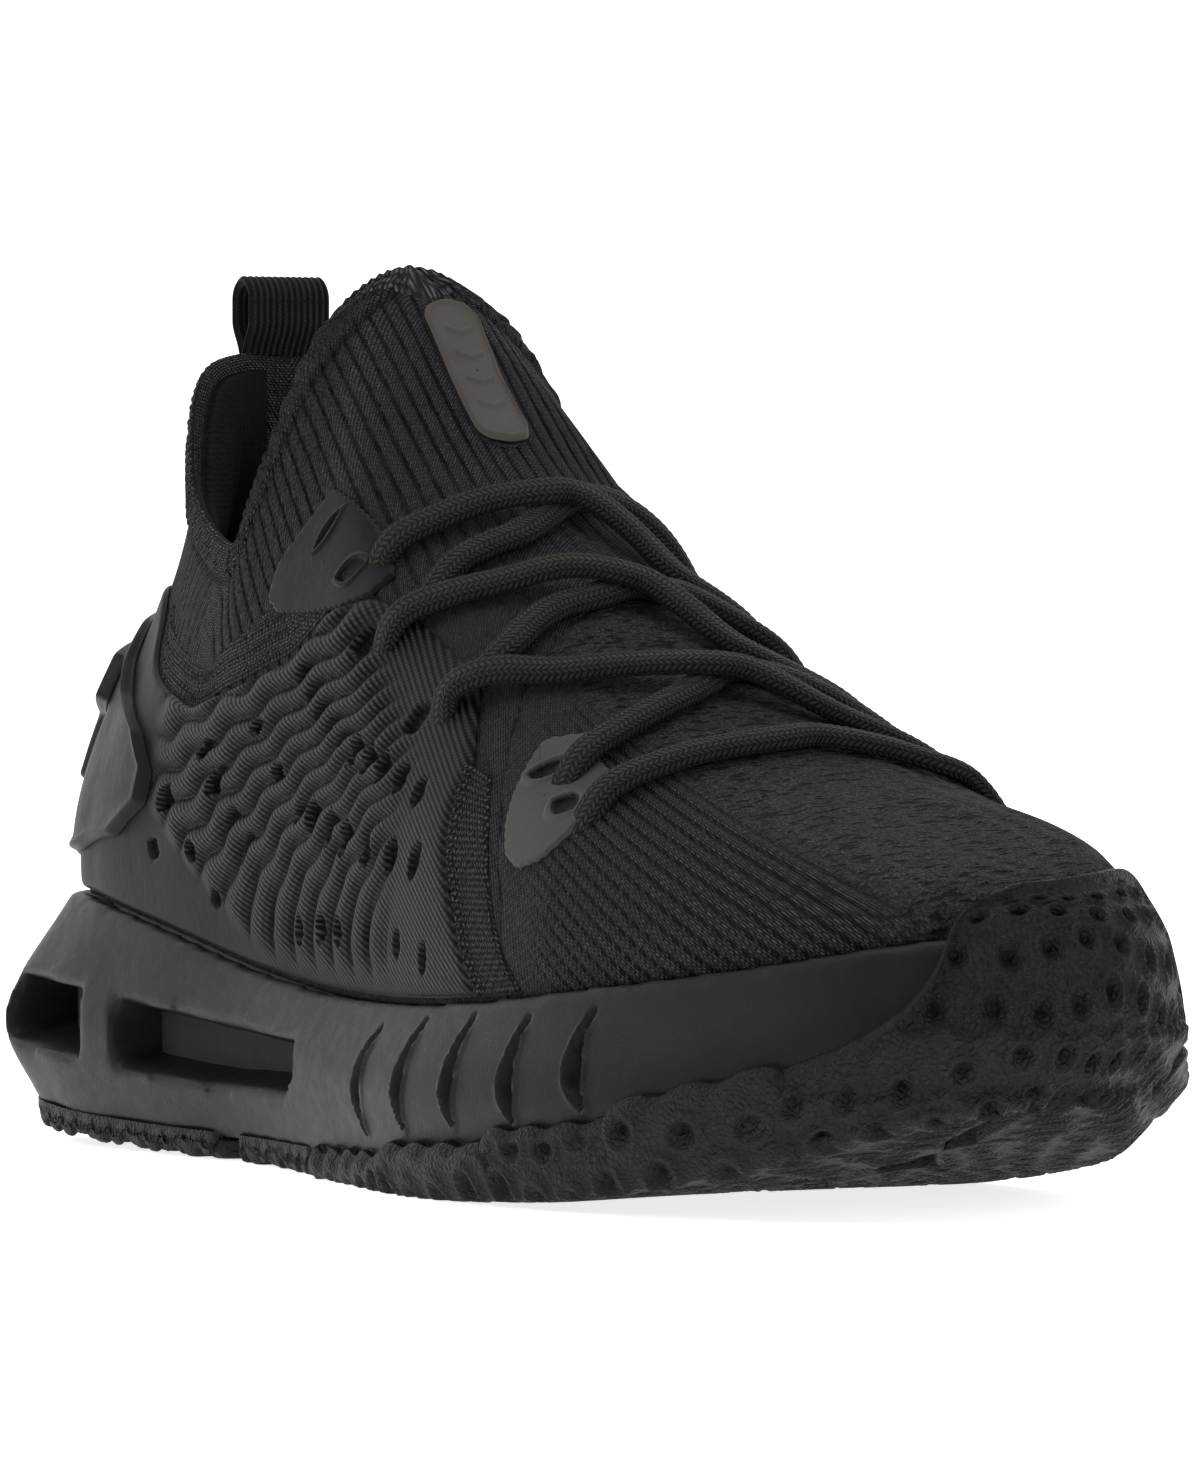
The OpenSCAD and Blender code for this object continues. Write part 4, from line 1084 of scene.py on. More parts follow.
def badge(skin):
    """Rubber pill on the crest of the tongue, with a raised rim and plain bars."""
    length, width, end = 35.5, 9.4, 3.6
    corner = [(length / 2 - end, width / 2), (length / 2 - 1.2, width / 2 - 1.2), (length / 2, 0)]
    flat = disc_grid([(-length / 2 + end, width / 2), (0, width / 2), *corner,
                      (length / 2 - 1.2, 1.2 - width / 2), (length / 2 - end, -width / 2), (0, -width / 2),
                      (end - length / 2, -width / 2), (1.2 - length / 2, 1.2 - width / 2), (-length / 2, 0),
                      (1.2 - length / 2, width / 2 - 1.2)], 50, 0, 0.4)
    crest_u = np.linspace(0.25, 0.3, 60)
    crest, _ = skin.settle(grid_of(arch, crest_u[:, None], np.zeros((60, 1))))
    place = arc_along(crest, 0)[:, 0]
    along = 10.0 + length / 2 + flat[..., 0]
    u = np.interp(along, place, crest_u)
    spine = np.stack([np.interp(along, place, crest[:, 0, k]) for k in range(3)], -1)
    _, normal = skin.settle(grid_of(arch, u, np.zeros_like(u)))
    base = spine + np.stack([np.zeros_like(u), flat[..., 1], np.zeros_like(u)], -1)
    sag = -0.018 * flat[..., 1] ** 2
    inward = arc_along(base[:, ::-1], 1)[:, ::-1]
    rim = 1 - step(inward, 0.9, 1.4)
    bar = groove(flat[..., 0] + 0.45 * np.abs(flat[..., 1]), 6.0, 0.09) * (np.abs(flat[..., 1]) < 2.4)
    bar = bar * (np.abs(flat[..., 0]) < 13)
    height = 1.5 + 0.4 * rim + 0.45 * bar + sag - 1.1 * (1 - step(inward, -0.2, 0.9))
    obj = shell("tongue_badge_plate", base, normal, height, sag - 0.9, LOOKS["badge"], True, flat,
                {"shaded_pit": 0.0}, True)
    grow_up(obj, REAR, ["tongue_badge"])


# ---- lace, tab and the inside of the shoe ------------------------------------

ON_KNIT, ON_LACE, IN_HOLE = 1.8, 4.5, -1.2      # heights of the lace's middle above the knit
LACE_W, LACE_T = 5.5, 3.1
# Where the lace runs: (u, w) on the upper and its height, from the inner end on the medial side.
# About half of the points were worked out by another program.
LACE_ROUTE = [
    (0.264, 0.33, -4.2), (0.268, 0.38, -4.2), (0.271, 0.45, -3.4), (0.2735, 0.46, IN_HOLE),
    (0.279, 0.33, ON_KNIT), (0.288, 0.18, ON_KNIT), (0.2995, 0.03, ON_KNIT), (0.303, -0.1, ON_KNIT),
    (0.2995, -0.193, ON_KNIT), (0.2945, -0.28, ON_KNIT), (0.289, -0.37, 0.4), (0.279, -0.47, -1.8),
    (0.2705, -0.53, IN_HOLE),
    (0.281, -0.448, 2.6), (0.2955, -0.34, 2.2), (0.3075, -0.228, 2.4), (0.317, -0.11, ON_LACE),
    (0.324, -0.025, ON_LACE), (0.329, 0.057, 3.4), (0.333, 0.13, ON_KNIT), (0.334, 0.23, ON_KNIT),
    (0.333, 0.36, ON_KNIT), (0.334, 0.46, IN_HOLE), (0.341, 0.48, -2.4), (0.349, 0.46, IN_HOLE),
    (0.3465, 0.33, ON_KNIT), (0.343, 0.2, 2.6), (0.346, 0.05, ON_KNIT), (0.35, -0.088, ON_KNIT),
    (0.349, -0.218, ON_KNIT), (0.346, -0.33, ON_KNIT), (0.342, -0.432, ON_KNIT), (0.3385, -0.517, IN_HOLE),
    (0.341, -0.57, -2.4), (0.3455, -0.575, IN_HOLE),
    (0.3515, -0.475, ON_KNIT), (0.358, -0.365, ON_KNIT), (0.365, -0.235, ON_KNIT), (0.371, -0.103, ON_KNIT),
    (0.3735, 0.027, ON_KNIT), (0.3725, 0.16, ON_KNIT), (0.372, 0.25, ON_KNIT), (0.368, 0.36, ON_KNIT),
    (0.366, 0.46, IN_HOLE), (0.3625, 0.48, -2.4), (0.359, 0.46, IN_HOLE),
    (0.3575, 0.34, ON_KNIT), (0.354, 0.2, ON_KNIT), (0.3545, 0.12, 2.8), (0.353, 0.015, ON_LACE),
    (0.347, -0.09, ON_LACE), (0.3385, -0.175, 2.8), (0.3275, -0.302, 2.2), (0.316, -0.398, 3.8),
    (0.305, -0.477, 3.0), (0.299, -0.545, IN_HOLE), (0.301, -0.51, -2.4), (0.3085, -0.43, 0.0),
    (0.3155, -0.333, ON_KNIT), (0.3175, -0.253, ON_KNIT), (0.3195, -0.175, ON_KNIT),
    (0.3225, -0.085, ON_KNIT), (0.3225, 0.04, ON_KNIT), (0.3175, 0.16, ON_KNIT), (0.314, 0.28, ON_KNIT),
    (0.311, 0.38, ON_KNIT), (0.309, 0.46, IN_HOLE), (0.3055, 0.48, -2.4), (0.302, 0.46, IN_HOLE),
    (0.306, 0.34, ON_KNIT), (0.3085, 0.2, ON_KNIT), (0.305, 0.143, 3.0), (0.303, 0.062, ON_LACE),
    (0.3005, -0.04, ON_LACE), (0.294, -0.132, 3.0), (0.285, -0.247, ON_KNIT), (0.275, -0.345, ON_KNIT),
    (0.2665, -0.425, IN_HOLE), (0.268, -0.47, -3.2), (0.268, -0.4, -4.2), (0.264, -0.33, -4.2)]


def soften(rows, width):
    """Running mean along a path, the ends kept."""
    kernel = np.hanning(width + 2)[1:-1]
    kernel = kernel / kernel.sum()
    padded = np.pad(rows, ((width // 2, width // 2), (0, 0)), "edge")
    return np.stack([np.convolve(padded[:, k], kernel, "valid") for k in range(rows.shape[1])], -1)


def even_steps(path, spacing):
    """The same path with points at even steps, and how far along each one is."""
    place = np.concatenate([[0], np.cumsum(np.linalg.norm(np.diff(path[:, :3], axis=0), axis=1))])
    even = np.linspace(0, place[-1], int(place[-1] / spacing))
    return np.stack([np.interp(even, place, path[:, k]) for k in range(path.shape[1])], -1), even


def tube(name, middle, up, width, thick, around, material, place, relief=None):
    """Flat oval tube along a path, up being the direction of its thin side."""
    along = unit(np.gradient(middle, axis=0))
    side = unit(np.cross(up, along))
    rise = np.cross(along, side)
    turn = np.linspace(0, 2 * np.pi, around, endpoint=False) - np.pi / 2
    c, s = np.cos(turn), np.sin(turn)
    grow = relief(place[:, None], turn[None, :]) if relief else 0.0
    across = np.sign(c) * np.abs(c) ** 0.85 * (width / 2 + grow)
    lift = np.sign(s) * np.abs(s) ** 0.7 * (thick / 2 + grow)
    points = middle[:, None] + side[:, None] * across[..., None] + rise[:, None] * lift[..., None]
    n = len(middle)
    faces = quads(n, around, False, True).tolist()
    faces += [list(range(around))[::-1], list(range((n - 1) * around, n * around))]
    round_about = np.broadcast_to((turn + np.pi / 2) * width / np.pi, (n, around))
    uv = np.stack([round_about, np.broadcast_to(place[:, None], (n, around))], -1)
    return mesh_object(name, points.reshape(-1, 3), faces, material, uv.reshape(-1, 2))


def braid_relief(place, turn):
    """Chevrons of the braid's strands."""
    lane = np.abs(((turn + np.pi / 2) / np.pi) % 1 - 0.5) * 2
    return 0.13 * np.abs(np.sin(np.pi * (place / 1.25 + 0.8 * lane))) - 0.05


def lace(skin):
    t = np.linspace(0, 1, 2400)
    route = line_at(np.array(LACE_ROUTE), t)
    base, normal = skin.settle(arch(route[:, 0], route[:, 1]))
    normal = unit(soften(normal, 61))
    middle = soften(base + normal * route[:, 2:3], 31)
    path, place = even_steps(np.concatenate([middle, normal], 1), 0.33)
    obj = tube("lace_braid_round", path[:, :3], unit(path[:, 3:]), LACE_W, LACE_T, 26, LOOKS["lace"],
               place, braid_relief)
    grow_up(obj, None, ["lace"])
    print("lace length mm", round(float(place[-1])))


def pull_tab():
    """Loop of ribbed webbing standing on the hinge line at the collar's rear edge."""
    half, low, high = 3.3, 3.0, 9.0
    turn = np.linspace(0, np.pi, 26)
    rise = np.linspace(low, high, 12)[1:-1]
    arc = np.stack([half * np.cos(turn), high + half * np.sin(turn)], -1)
    left = np.stack([np.full(10, -half), rise[::-1]], -1)
    right = np.stack([np.full(10, half), rise], -1)
    loop = np.concatenate([arc, left, np.stack([-arc[:, 0], low - (arc[:, 1] - high)], -1), right])
    loop[:, 0] *= 0.35 + 0.65 * step(loop[:, 1], 0.5, 5.5)
    y = np.linspace(-7.5, 7.5, 79)
    root = np.array([-116.5, 0.0, 133.4])
    base = np.empty((len(loop), len(y), 3))
    base[..., 0] = root[0] + loop[:, None, 0]
    base[..., 1] = y
    base[..., 2] = root[2] + loop[:, None, 1]
    normal = grid_normal(base, True)
    outward = base - np.array([root[0], 0, root[2] + (low + high) / 2])
    outward[..., 1] = 0
    if (normal * outward).sum() < 0:
        normal = -normal
    rib = 0.12 * np.cos(2 * np.pi * y / 1.15) * (np.abs(y) < 7.0)
    edge = step(7.5 - np.abs(y), -0.2, 0.5)
    place = arc_along(base, 0)
    height = (0.7 * edge + rib)[None, :] * np.ones_like(place)
    uv = np.stack([np.broadcast_to(y, place.shape), place], -1)
    obj = shell("pull_tab_webbing", base, normal, height, -height, LOOKS["webbing"], True, uv)
    grow_up(obj, TAB, ["pull_tab"])


def tab_anchor():
    """Doubled webbing sewn to the outside of the collar with a box of stitches."""
    s, t = np.meshgrid(np.linspace(-1, 1, 81), np.linspace(0, 1, 90), indexing="ij")
    u, v = s * 0.024, 0.8 + 0.19 * t
    base, normal = base_on(upper, u, v)
    across, along = arc_along(base, 0), arc_along(base, 1)
    width, length = across[-1:, :], along[:, -1:]
    aside = np.minimum(across, width - across)
    ahead = np.minimum(along, length - along)
    box = np.exp(-((np.minimum(aside, ahead) - 1.8) / 0.35) ** 2)
    dash = 0.6 + 0.4 * np.sin(2 * np.pi * (across + along) / 2.2)
    rib = 0.1 * np.cos(2 * np.pi * across / 1.15)
    edge = rounded_edge(s.shape, 4)
    height = 0.2 + 1.5 * edge + rib * (1 - box) - 0.25 * box + 0.4 * box * dash
    obj = shell("tab_anchor_webbing", base, normal, height, 0.2, LOOKS["webbing"],
                uv=np.stack([across, along], -1))
    grow_up(obj, REAR, ["tab_anchor"])


def ankle_pad(side):
    """Foam pad behind the lining, thick in the middle and drawn in at its edge."""
    s, t = np.meshgrid(np.linspace(0, 1, 90), np.linspace(0, 1, 60), indexing="ij")
    u = side * -(0.015 + 0.12 * s)
    v = 0.72 + 0.255 * t
    base, normal = base_on(upper, u, v)
    puff = (np.sin(np.pi * s) * np.sin(np.pi * t)) ** 0.45
    crease = 0.18 * np.sin(s * 21 + 2 * t) * np.sin(t * 9) * puff
    word = WORD[side]
    obj = shell("ankle_pad_lined_" + word, base, normal, -KNIT_T - 0.1,
                -KNIT_T - 0.5 - 4.2 * puff - crease, LOOKS["lining"])
    grow_up(obj, REAR, ["ankle_pad_" + word])


def sockliner():
    """Moulded footbed with a covered top, raised at the rim and dished under the heel."""
    u, r = np.meshgrid(np.arange(220) / 220, np.linspace(0.02, 1, 60), indexing="ij")
    edge = on_loop(RIM, u.ravel(), -FEATHER_IN - KNIT_T - 2.4, 0).reshape(u.shape + (3,))
    spine = edge.copy()
    spine[..., 1] = (edge[..., 1] + edge[::-1][..., 1]) / 2
    middle = edge.mean(0, keepdims=True)
    spine = middle + (spine - middle) * [0.93, 0, 1]
    base = spine + (edge - spine) * r[..., None]
    base[..., 2] = line_at([36.5, 34.5, 31, 27.6, 27, 30, 35, 38.5], (base[..., 0] + 142) / 284)
    base[..., 2] += 2.4 * step(r, 0.6, 1.0) * step(-base[..., 0], -60, 60)
    rounding = 1.6 * (1 - np.sqrt(np.clip(1 - (np.clip(r - 0.93, 0, 1) / 0.07) ** 2, 0, 1)))
    up = np.zeros_like(base)
    up[..., 2] = 1
    grain = 0.1 * np.sin(base[..., 0] * 1.1) * np.sin(base[..., 1] * 1.3)
    obj = shell("sockliner_footbed", base, up, 3.6 - rounding + grain, 0.2, LOOKS["lining"], True, disc=True)
    grow_up(obj, None, ["sockliner"])


def lining_shell():
    """Lined stiffener round the inside of the heel."""
    s, t = np.meshgrid(np.linspace(-1, 1, 121), np.linspace(0, 1, 50), indexing="ij")
    u, v = 0.12 * s, 0.14 + (0.38 - 0.1 * s * s) * t
    base, normal = base_on(upper, u, v)
    edge = rounded_edge(s.shape, 6)
    obj = shell("heel_stiffener_lined", base, normal, -KNIT_T - 0.15, -KNIT_T - 0.3 - 1.1 * edge,
                LOOKS["lining"])
    grow_up(obj, REAR, ["heel_stiffener"])


# ---- midsole and cushion core ----------------------------------------------------

# Windows in the side of the heel, side view, and how they narrow towards the core
FRONT_WINDOW = [(-92, 25.6), (-55, 23.4), (-20, 21.2), (-17, 16.8), (-24, 12.8), (-60, 12.2), (-92, 14.2)]
REAR_WINDOW = [(-137, 28.8), (-104, 26.5), (-104, 15.2), (-137, 17.3)]
# Leaf slits in the side of the midsole: u, and the heights t of their top and bottom
SLITS = [(0.2710, 1.72, 0.45), (0.2925, 1.84, 0.60), (0.3130, 1.86, 0.72), (0.3345, 1.82, 0.80),
         (0.3560, 1.82, 0.92)]


def baked(obj, name):
    """Mesh object with its modifiers made part of the mesh."""
    bpy.context.view_layer.update()
    shape = obj.evaluated_get(bpy.context.evaluated_depsgraph_get())
    mesh = bpy.data.meshes.new_from_object(shape)
    obj.modifiers.clear()
    obj.data = mesh
    obj.name = name
    return obj


def points_of(obj):
    flat = np.empty(len(obj.data.vertices) * 3)
    obj.data.vertices.foreach_get("co", flat)
    return flat.reshape(-1, 3) / MM


def normals_of(obj):
    flat = np.empty(len(obj.data.vertices) * 3)
    obj.data.vertices.foreach_get("normal", flat)
    return flat.reshape(-1, 3)


def move_points(obj, points):
    obj.data.vertices.foreach_set("co", (points * MM).ravel())
    obj.data.update()


def lid(n, start):
    """Faces across a closed row of n points, rung by rung."""
    half = n // 2
    rungs = [[start + i, start + i + 1, start + n - i - 1, start + (n - i) % n] for i in range(1, half - 1)]
    first, last = [start, start + 1, start + n - 1], [start + half - 1, start + half, start + half + 1]
    return [first] + rungs + [last]


def midsole_block():
    n = 400
    u = np.arange(n) / n
    rows = [sole_side(u, np.full(n, t)) for t in np.linspace(0, 2, 21)]
    rows += [on_loop(RIM, u, -1.0, 0.5), on_loop(RIM, u, -2.2, 0.3), on_loop(RIM, u, -FEATHER_IN - 3, -4)]
    points = np.concatenate(rows)
    faces = []
    for k in range(len(rows) - 1):
        i = np.arange(n)
        j = (i + 1) % n
        faces += np.stack([k * n + i, k * n + j, (k + 1) * n + j, (k + 1) * n + i], -1).tolist()
    faces += [f[::-1] for f in lid(n, 0)] + lid(n, (len(rows) - 1) * n)
    return mesh_object("midsole_block", points, faces, LOOKS["foam"])


def window_cutter(outline, side, inner, squeeze, at=42.0, outer=70.0):
    """Block through one side of the heel: its outline at distance at, less by squeeze each mm inward."""
    outline = np.array(outline)
    middle = (outline[:, 1].max() + outline[:, 1].min()) / 2
    rows = []
    for depth in (inner, outer):
        change = squeeze * (depth - at)
        z = outline[:, 1] + np.sign(outline[:, 1] - middle) * change
        rows.append(np.stack([outline[:, 0], np.full(len(z), side * depth), z], -1))
    n = len(outline)
    i = np.arange(n)
    j = (i + 1) % n
    faces = np.stack([i, j, j + n, i + n], -1).tolist() + [list(range(n))[::-1], list(range(n, 2 * n))]
    obj = mesh_object("cutter", np.concatenate(rows), faces, LOOKS["foam"], smooth=False)
    work = bmesh.new()
    work.from_mesh(obj.data)
    bmesh.ops.recalc_face_normals(work, faces=work.faces)
    work.to_mesh(obj.data)
    work.free()
    return obj


def cut(obj, tool):
    change = obj.modifiers.new("cut", "BOOLEAN")
    change.operation = "DIFFERENCE"
    change.solver = "MANIFOLD"
    change.object = tool
    baked(obj, obj.name)
    bpy.data.objects.remove(tool)


def finer_where(obj, chosen):
    """Splits the chosen faces once more."""
    work = bmesh.new()
    work.from_mesh(obj.data)
    work.faces.ensure_lookup_table()
    edges = {e for i in np.where(chosen)[0] for e in work.faces[i].edges}
    bmesh.ops.subdivide_edges(work, edges=list(edges), cuts=1, use_grid_fill=True)
    work.to_mesh(obj.data)
    work.free()


def slit_depth(points):
    """How deep the leaf slits are at each point, 0 to 1, and the height of their lips."""
    depth, lip = np.zeros(len(points)), np.zeros(len(points))
    t = np.linspace(0, 1, 40)
    for u, top, bottom in SLITS:
        for side in (u, 1 - u):
            line = sole_side(np.full(40, side), top + (bottom - top) * t)
            lean = 2.6 * (0.5 - t) ** 2 * 4 - 1.3
            line[:, 0] += lean
            gap = np.linalg.norm(points[:, None, [0, 2]] - line[None, :, [0, 2]], axis=2)
            near = gap.argmin(1)
            flat = gap[np.arange(len(points)), near]
            flat = np.where(np.sign(points[:, 1]) == np.sign(line[20, 1]), flat, 99)
            width = 0.35 + 1.5 * np.sin(np.pi * np.clip(t[near], 0, 1) ** 1.4) ** 1.5
            depth = np.maximum(depth, step(-flat, -width - 0.35, -width * 0.35))
            lip = np.maximum(lip, np.exp(-((flat - width - 0.5) / 0.45) ** 2) * step(t[near], 0.02, 0.2))
    return depth, lip


def midsole():
    obj = midsole_block()
    for side in (-1, 1):
        cut(obj, window_cutter(FRONT_WINDOW, side, 31.0, 0.27))
        cut(obj, window_cutter(REAR_WINDOW, side, 15.0, 0.22))
    slot = [(-126, 27.5), (-104, 26.5), (-20, 21.2), (-17, 16.5), (-24, 12.6), (-60, 12.1), (-104, 15),
            (-126, 16.3)]
    cut(obj, window_cutter(slot, 1, -26.0, 0.0, outer=26.0))
    change = obj.modifiers.new("even", "REMESH")
    change.mode = "VOXEL"
    change.voxel_size = 1.3 * MM
    change.use_smooth_shade = True
    even = obj.modifiers.new("soften", "SMOOTH")
    even.factor = 0.5
    even.iterations = 2
    baked(obj, "midsole_frame")
    near = points_of(obj)
    face_x = np.array([near[list(f.vertices)].mean(0) for f in obj.data.polygons])
    chosen = (face_x[:, 0] > 8) & (face_x[:, 0] < 102) & (np.abs(face_x[:, 1]) > 30)
    chosen &= (face_x[:, 2] > 5) & (face_x[:, 2] < 36)
    finer_where(obj, chosen)
    p, normal = points_of(obj), normals_of(obj)
    outside = np.abs(p[:, 1]) > 33
    depth, lip = np.zeros(len(p)), np.zeros(len(p))
    some = np.where(outside & (p[:, 0] > 8) & (p[:, 0] < 104))[0]
    for part in np.array_split(some, 30):
        depth[part], lip[part] = slit_depth(p[part])
    move_points(obj, p - normal * (2.4 * depth - 0.5 * lip)[:, None])
    # Painted shade: the slits are painted dark, most where they are deepest.
    shaded_pit = obj.data.attributes.new("shaded_pit", "FLOAT", "POINT")
    shaded_pit.data.foreach_set("value", (0.9 * depth ** 2).astype(np.float32))
    obj.data.materials.clear()
    obj.data.materials.append(LOOKS["foam"])
    obj.data.polygons.foreach_set("use_smooth", np.ones(len(obj.data.polygons), bool))
    grow_up(obj, None, ["midsole_rear", "midsole_forefoot"])


def core():
    """Mesh-wrapped foam pillow in the heel's slot, bulging between the slabs."""
    t = np.linspace(0, 1, 120)
    x = -124 + 104 * t
    low = np.interp(x, [-124, -90, -60, -24, -20], [16.6, 14.4, 12.5, 13, 15])
    high = np.interp(x, [-124, -104, -90, -20], [27.0, 26.2, 25.2, 20.9])
    half_y = np.interp(x, [-124, -104, -92, -60, -20], [22, 29.0, 30, 29.5, 27])
    half_y = half_y * step(np.minimum(t, 1 - t), -0.06, 0.05)
    turn = np.linspace(0, 2 * np.pi, 96, endpoint=False)
    c, s = np.cos(turn), np.sin(turn)
    side = np.sign(c) * np.abs(c) ** 0.35
    rise = np.sign(s) * np.abs(s) ** 0.7
    pinch = 1 - 0.05 * np.cos(2 * np.pi * x / 17)
    points = np.stack([np.broadcast_to(x[:, None], (120, 96)), (half_y * pinch)[:, None] * side,
                       ((low + high) / 2)[:, None] + ((high - low) / 2 - 0.15)[:, None] * rise], -1)
    faces = quads(120, 96, False, True).tolist()
    faces += [list(range(96))[::-1], list(range(119 * 96, 120 * 96))]
    obj = mesh_object("core_pillow", points.reshape(-1, 3), faces, LOOKS["core"])
    grow_up(obj, REAR, ["core_wrap"])


# ---- outsole -------------------------------------------------------------------

DOWN = np.array([0.0, 0.0, -1.0])


def plan_pod(name, outline, pitch, stands_for):
    """Flat pod under the sole with wavy lugs, its outline in plan view."""
    flat = disc_grid(outline, 70, 0.0, 0.7, 2.5)
    x, y = flat[..., 0], flat[..., 1]
    u = bottom_u(x)
    base = np.stack([x, y, ring_at(BOTTOM[3], u)], -1)
    inward = arc_along(base[:, ::-1], 1)[:, ::-1]
    wave = x + 1.6 * np.sin(y / 3.1) + 0.25 * np.abs(y)
    lug = groove(wave, pitch, 0.17) + 0.7 * groove(y + 1.2 * np.sin(x / 3.0), 11.0, 0.08)
    rim = 1 - np.sqrt(np.clip(1 - np.clip(1 - inward / 1.6, 0, 1) ** 2, 0, 1))
    height = 3.85 - 1.7 * np.clip(lug, 0, 1) - 1.5 * rim
    height = np.minimum(height, base[..., 2] - 0.02)
    normal = np.broadcast_to(DOWN, base.shape)
    obj = shell(name, base, normal, height, -0.8, LOOKS["rubber"], True, disc=True)
    grow_up(obj, REAR, stands_for)


def sole_wrap(u, r, toe=False):
    """Underside of the sole for r -1 (middle) to 0 (edge), then up its side."""
    edge = on_loop(BOTTOM, u)
    middle = (edge + on_loop(BOTTOM, 1 - u)) / 2
    under = edge + (middle - edge) * np.clip(-r, 0, 1)[:, None]
    t = np.maximum(r, 0)
    side = toe_side(u, t) if toe else sole_side(u, np.minimum(t, 2))
    return np.where((r < 0)[:, None], under, side)


def wrap_normal(u, r, toe=False):
    """Outward directions on sole_wrap, turned smoothly round the bottom edge."""
    t = np.maximum(r, 0.12)
    surface = toe_side if toe else (lambda a, b: sole_side(a, np.minimum(b, 2)))
    side = slope_normal(surface, u, t)
    outward = surface(u, t) * [0.35, 1, 0.2]
    flip = np.sign((side * outward).sum(1))
    side = side * np.where(flip == 0, 1, flip)[:, None]
    turn = step(r, -0.22, 0.3)[:, None]
    return unit((1 - turn) * DOWN + turn * side)


def craters(x, q, pitch):
    """Ringed dimples at jittered places: their relief and how dark their pits are painted, as painted shade.
    """
    column = np.round(q / (pitch * 0.86))
    best = np.full(x.shape, 99.0)
    for dc in (-1, 0, 1):
        for dr in (-1, 0, 1):
            c = column + dc
            r = np.round(x / pitch - 0.5 * (c % 2)) + dr
            cx = (r + 0.5 * (c % 2)) * pitch + 1.4 * np.sin(12.9 * c + 7.3 * r)
            cq = c * pitch * 0.86 + 1.2 * np.sin(4.7 * c + 11.1 * r)
            best = np.minimum(best, np.hypot(x - cx, q - cq))
    shaded_pit = np.exp(-(best / 1.35) ** 2)
    return 0.6 * np.exp(-((best - 2.6) / 0.8) ** 2) - 1.2 * shaded_pit, shaded_pit


def wrap_pod(name, outline, side, slot_nodes, thick):
    """Rubber pod that laps up the side of the sole: outline in (x, q), q mm up from the bottom edge."""
    flat = disc_grid(outline, 70, 0.0, 0.6, 2.2)
    x, q = flat[..., 0].ravel(), flat[..., 1].ravel()
    u = bottom_u(x)
    half = np.abs(on_loop(BOTTOM, u)[:, 1] - on_loop(BOTTOM, 1 - u)[:, 1]) / 2
    r = np.where(q < 0, q / half, q / 13.0)
    u = u if side < 0 else 1 - u
    base = sole_wrap(u, r).reshape(flat.shape[:2] + (3,))
    normal = wrap_normal(u, r).reshape(base.shape)
    q, r = q.reshape(flat.shape[:2]), r.reshape(flat.shape[:2])
    inward = np.linalg.norm(flat - flat[:, -1:], axis=2)
    bevel = step(inward, -0.3, 1.3)
    full = 3.9 + (thick - 3.9) * step(r, -0.1, 0.5)
    relief, shaded_pit = craters(flat[..., 0], q, 8.6)
    height = full * (0.35 + 0.65 * bevel) + relief * step(inward, 1.0, 3.0)
    tip = base + normal * height[..., None]
    below = np.maximum(0, 0.03 - tip[..., 2]) / np.maximum(-normal[..., 2], 0.2)
    # The crater pits are painted dark: painted shade.
    obj = shell(name, base, normal, np.maximum(height - below, 0.2), -0.8, LOOKS["rubber"], True,
                values={"shaded_pit": 0.8 * shaded_pit}, disc=True)
    grow_up(obj, None, slot_nodes)


def scalloped(x0, x1, q0, q1, size, n):
    """Upper edge of a pod, a row of n bumps."""
    t = np.linspace(0, 1, n * 6 + 1)
    bump = size * np.abs(np.sin(np.pi * n * t)) ** 0.6
    return [(x0 + (x1 - x0) * a, q0 + (q1 - q0) * a + b) for a, b in zip(t, bump)]


POD_ROWS = [("1", (-13, 31), (0.3, 1.8), 5, "outsole_forefoot_", 2.2),
            ("2", (29, 68), (3.6, 5.6), 4, "outsole_forefoot_", 3.3),
            ("3", (65, 98), (7.8, 9.0), 4, "toe", 2.5),
            ("4", (94, 122), (11.0, 12.4), 3, "toe", 3.5)]


def wrap_pods(side):
    word = WORD[side]
    for number, (x0, x1), (q0, q1), bumps, stands, thick in POD_ROWS:
        half = on_loop(BOTTOM, bottom_u(np.array([(x0 + x1) / 2])))[0, 1]
        inner = 5.0 - abs(half)
        edge = scalloped(x0, x1, q0, q1, 1.4, bumps)
        outline = edge + [(x1 + 1.0, -2), (x1 - 0.5, inner + 6), (x1 - 4, inner), (x0 + 4, inner),
                          (x0 + 0.5, inner + 6), (x0 - 0.5, -2)]
        node = "outsole_toe" if stands == "toe" else stands + word
        wrap_pod("outsole_pod_" + number + "_" + word, outline, side, [node], thick)


# Top edge of the toe wrap: (u, t)
TOE_EDGE = [(0.398, 0.4), (0.404, 0.86), (0.411, 0.96), (0.432, 1.06), (0.451, 1.36), (0.461, 1.75),
            (0.466, 2.5), (0.472, 3.3), (0.485, 3.95), (0.5, 4.0), (0.521, 4.0), (0.55, 3.85),
            (0.568, 3.4), (0.576, 2.6), (0.583, 1.75), (0.592, 1.1), (0.6, 0.4)]


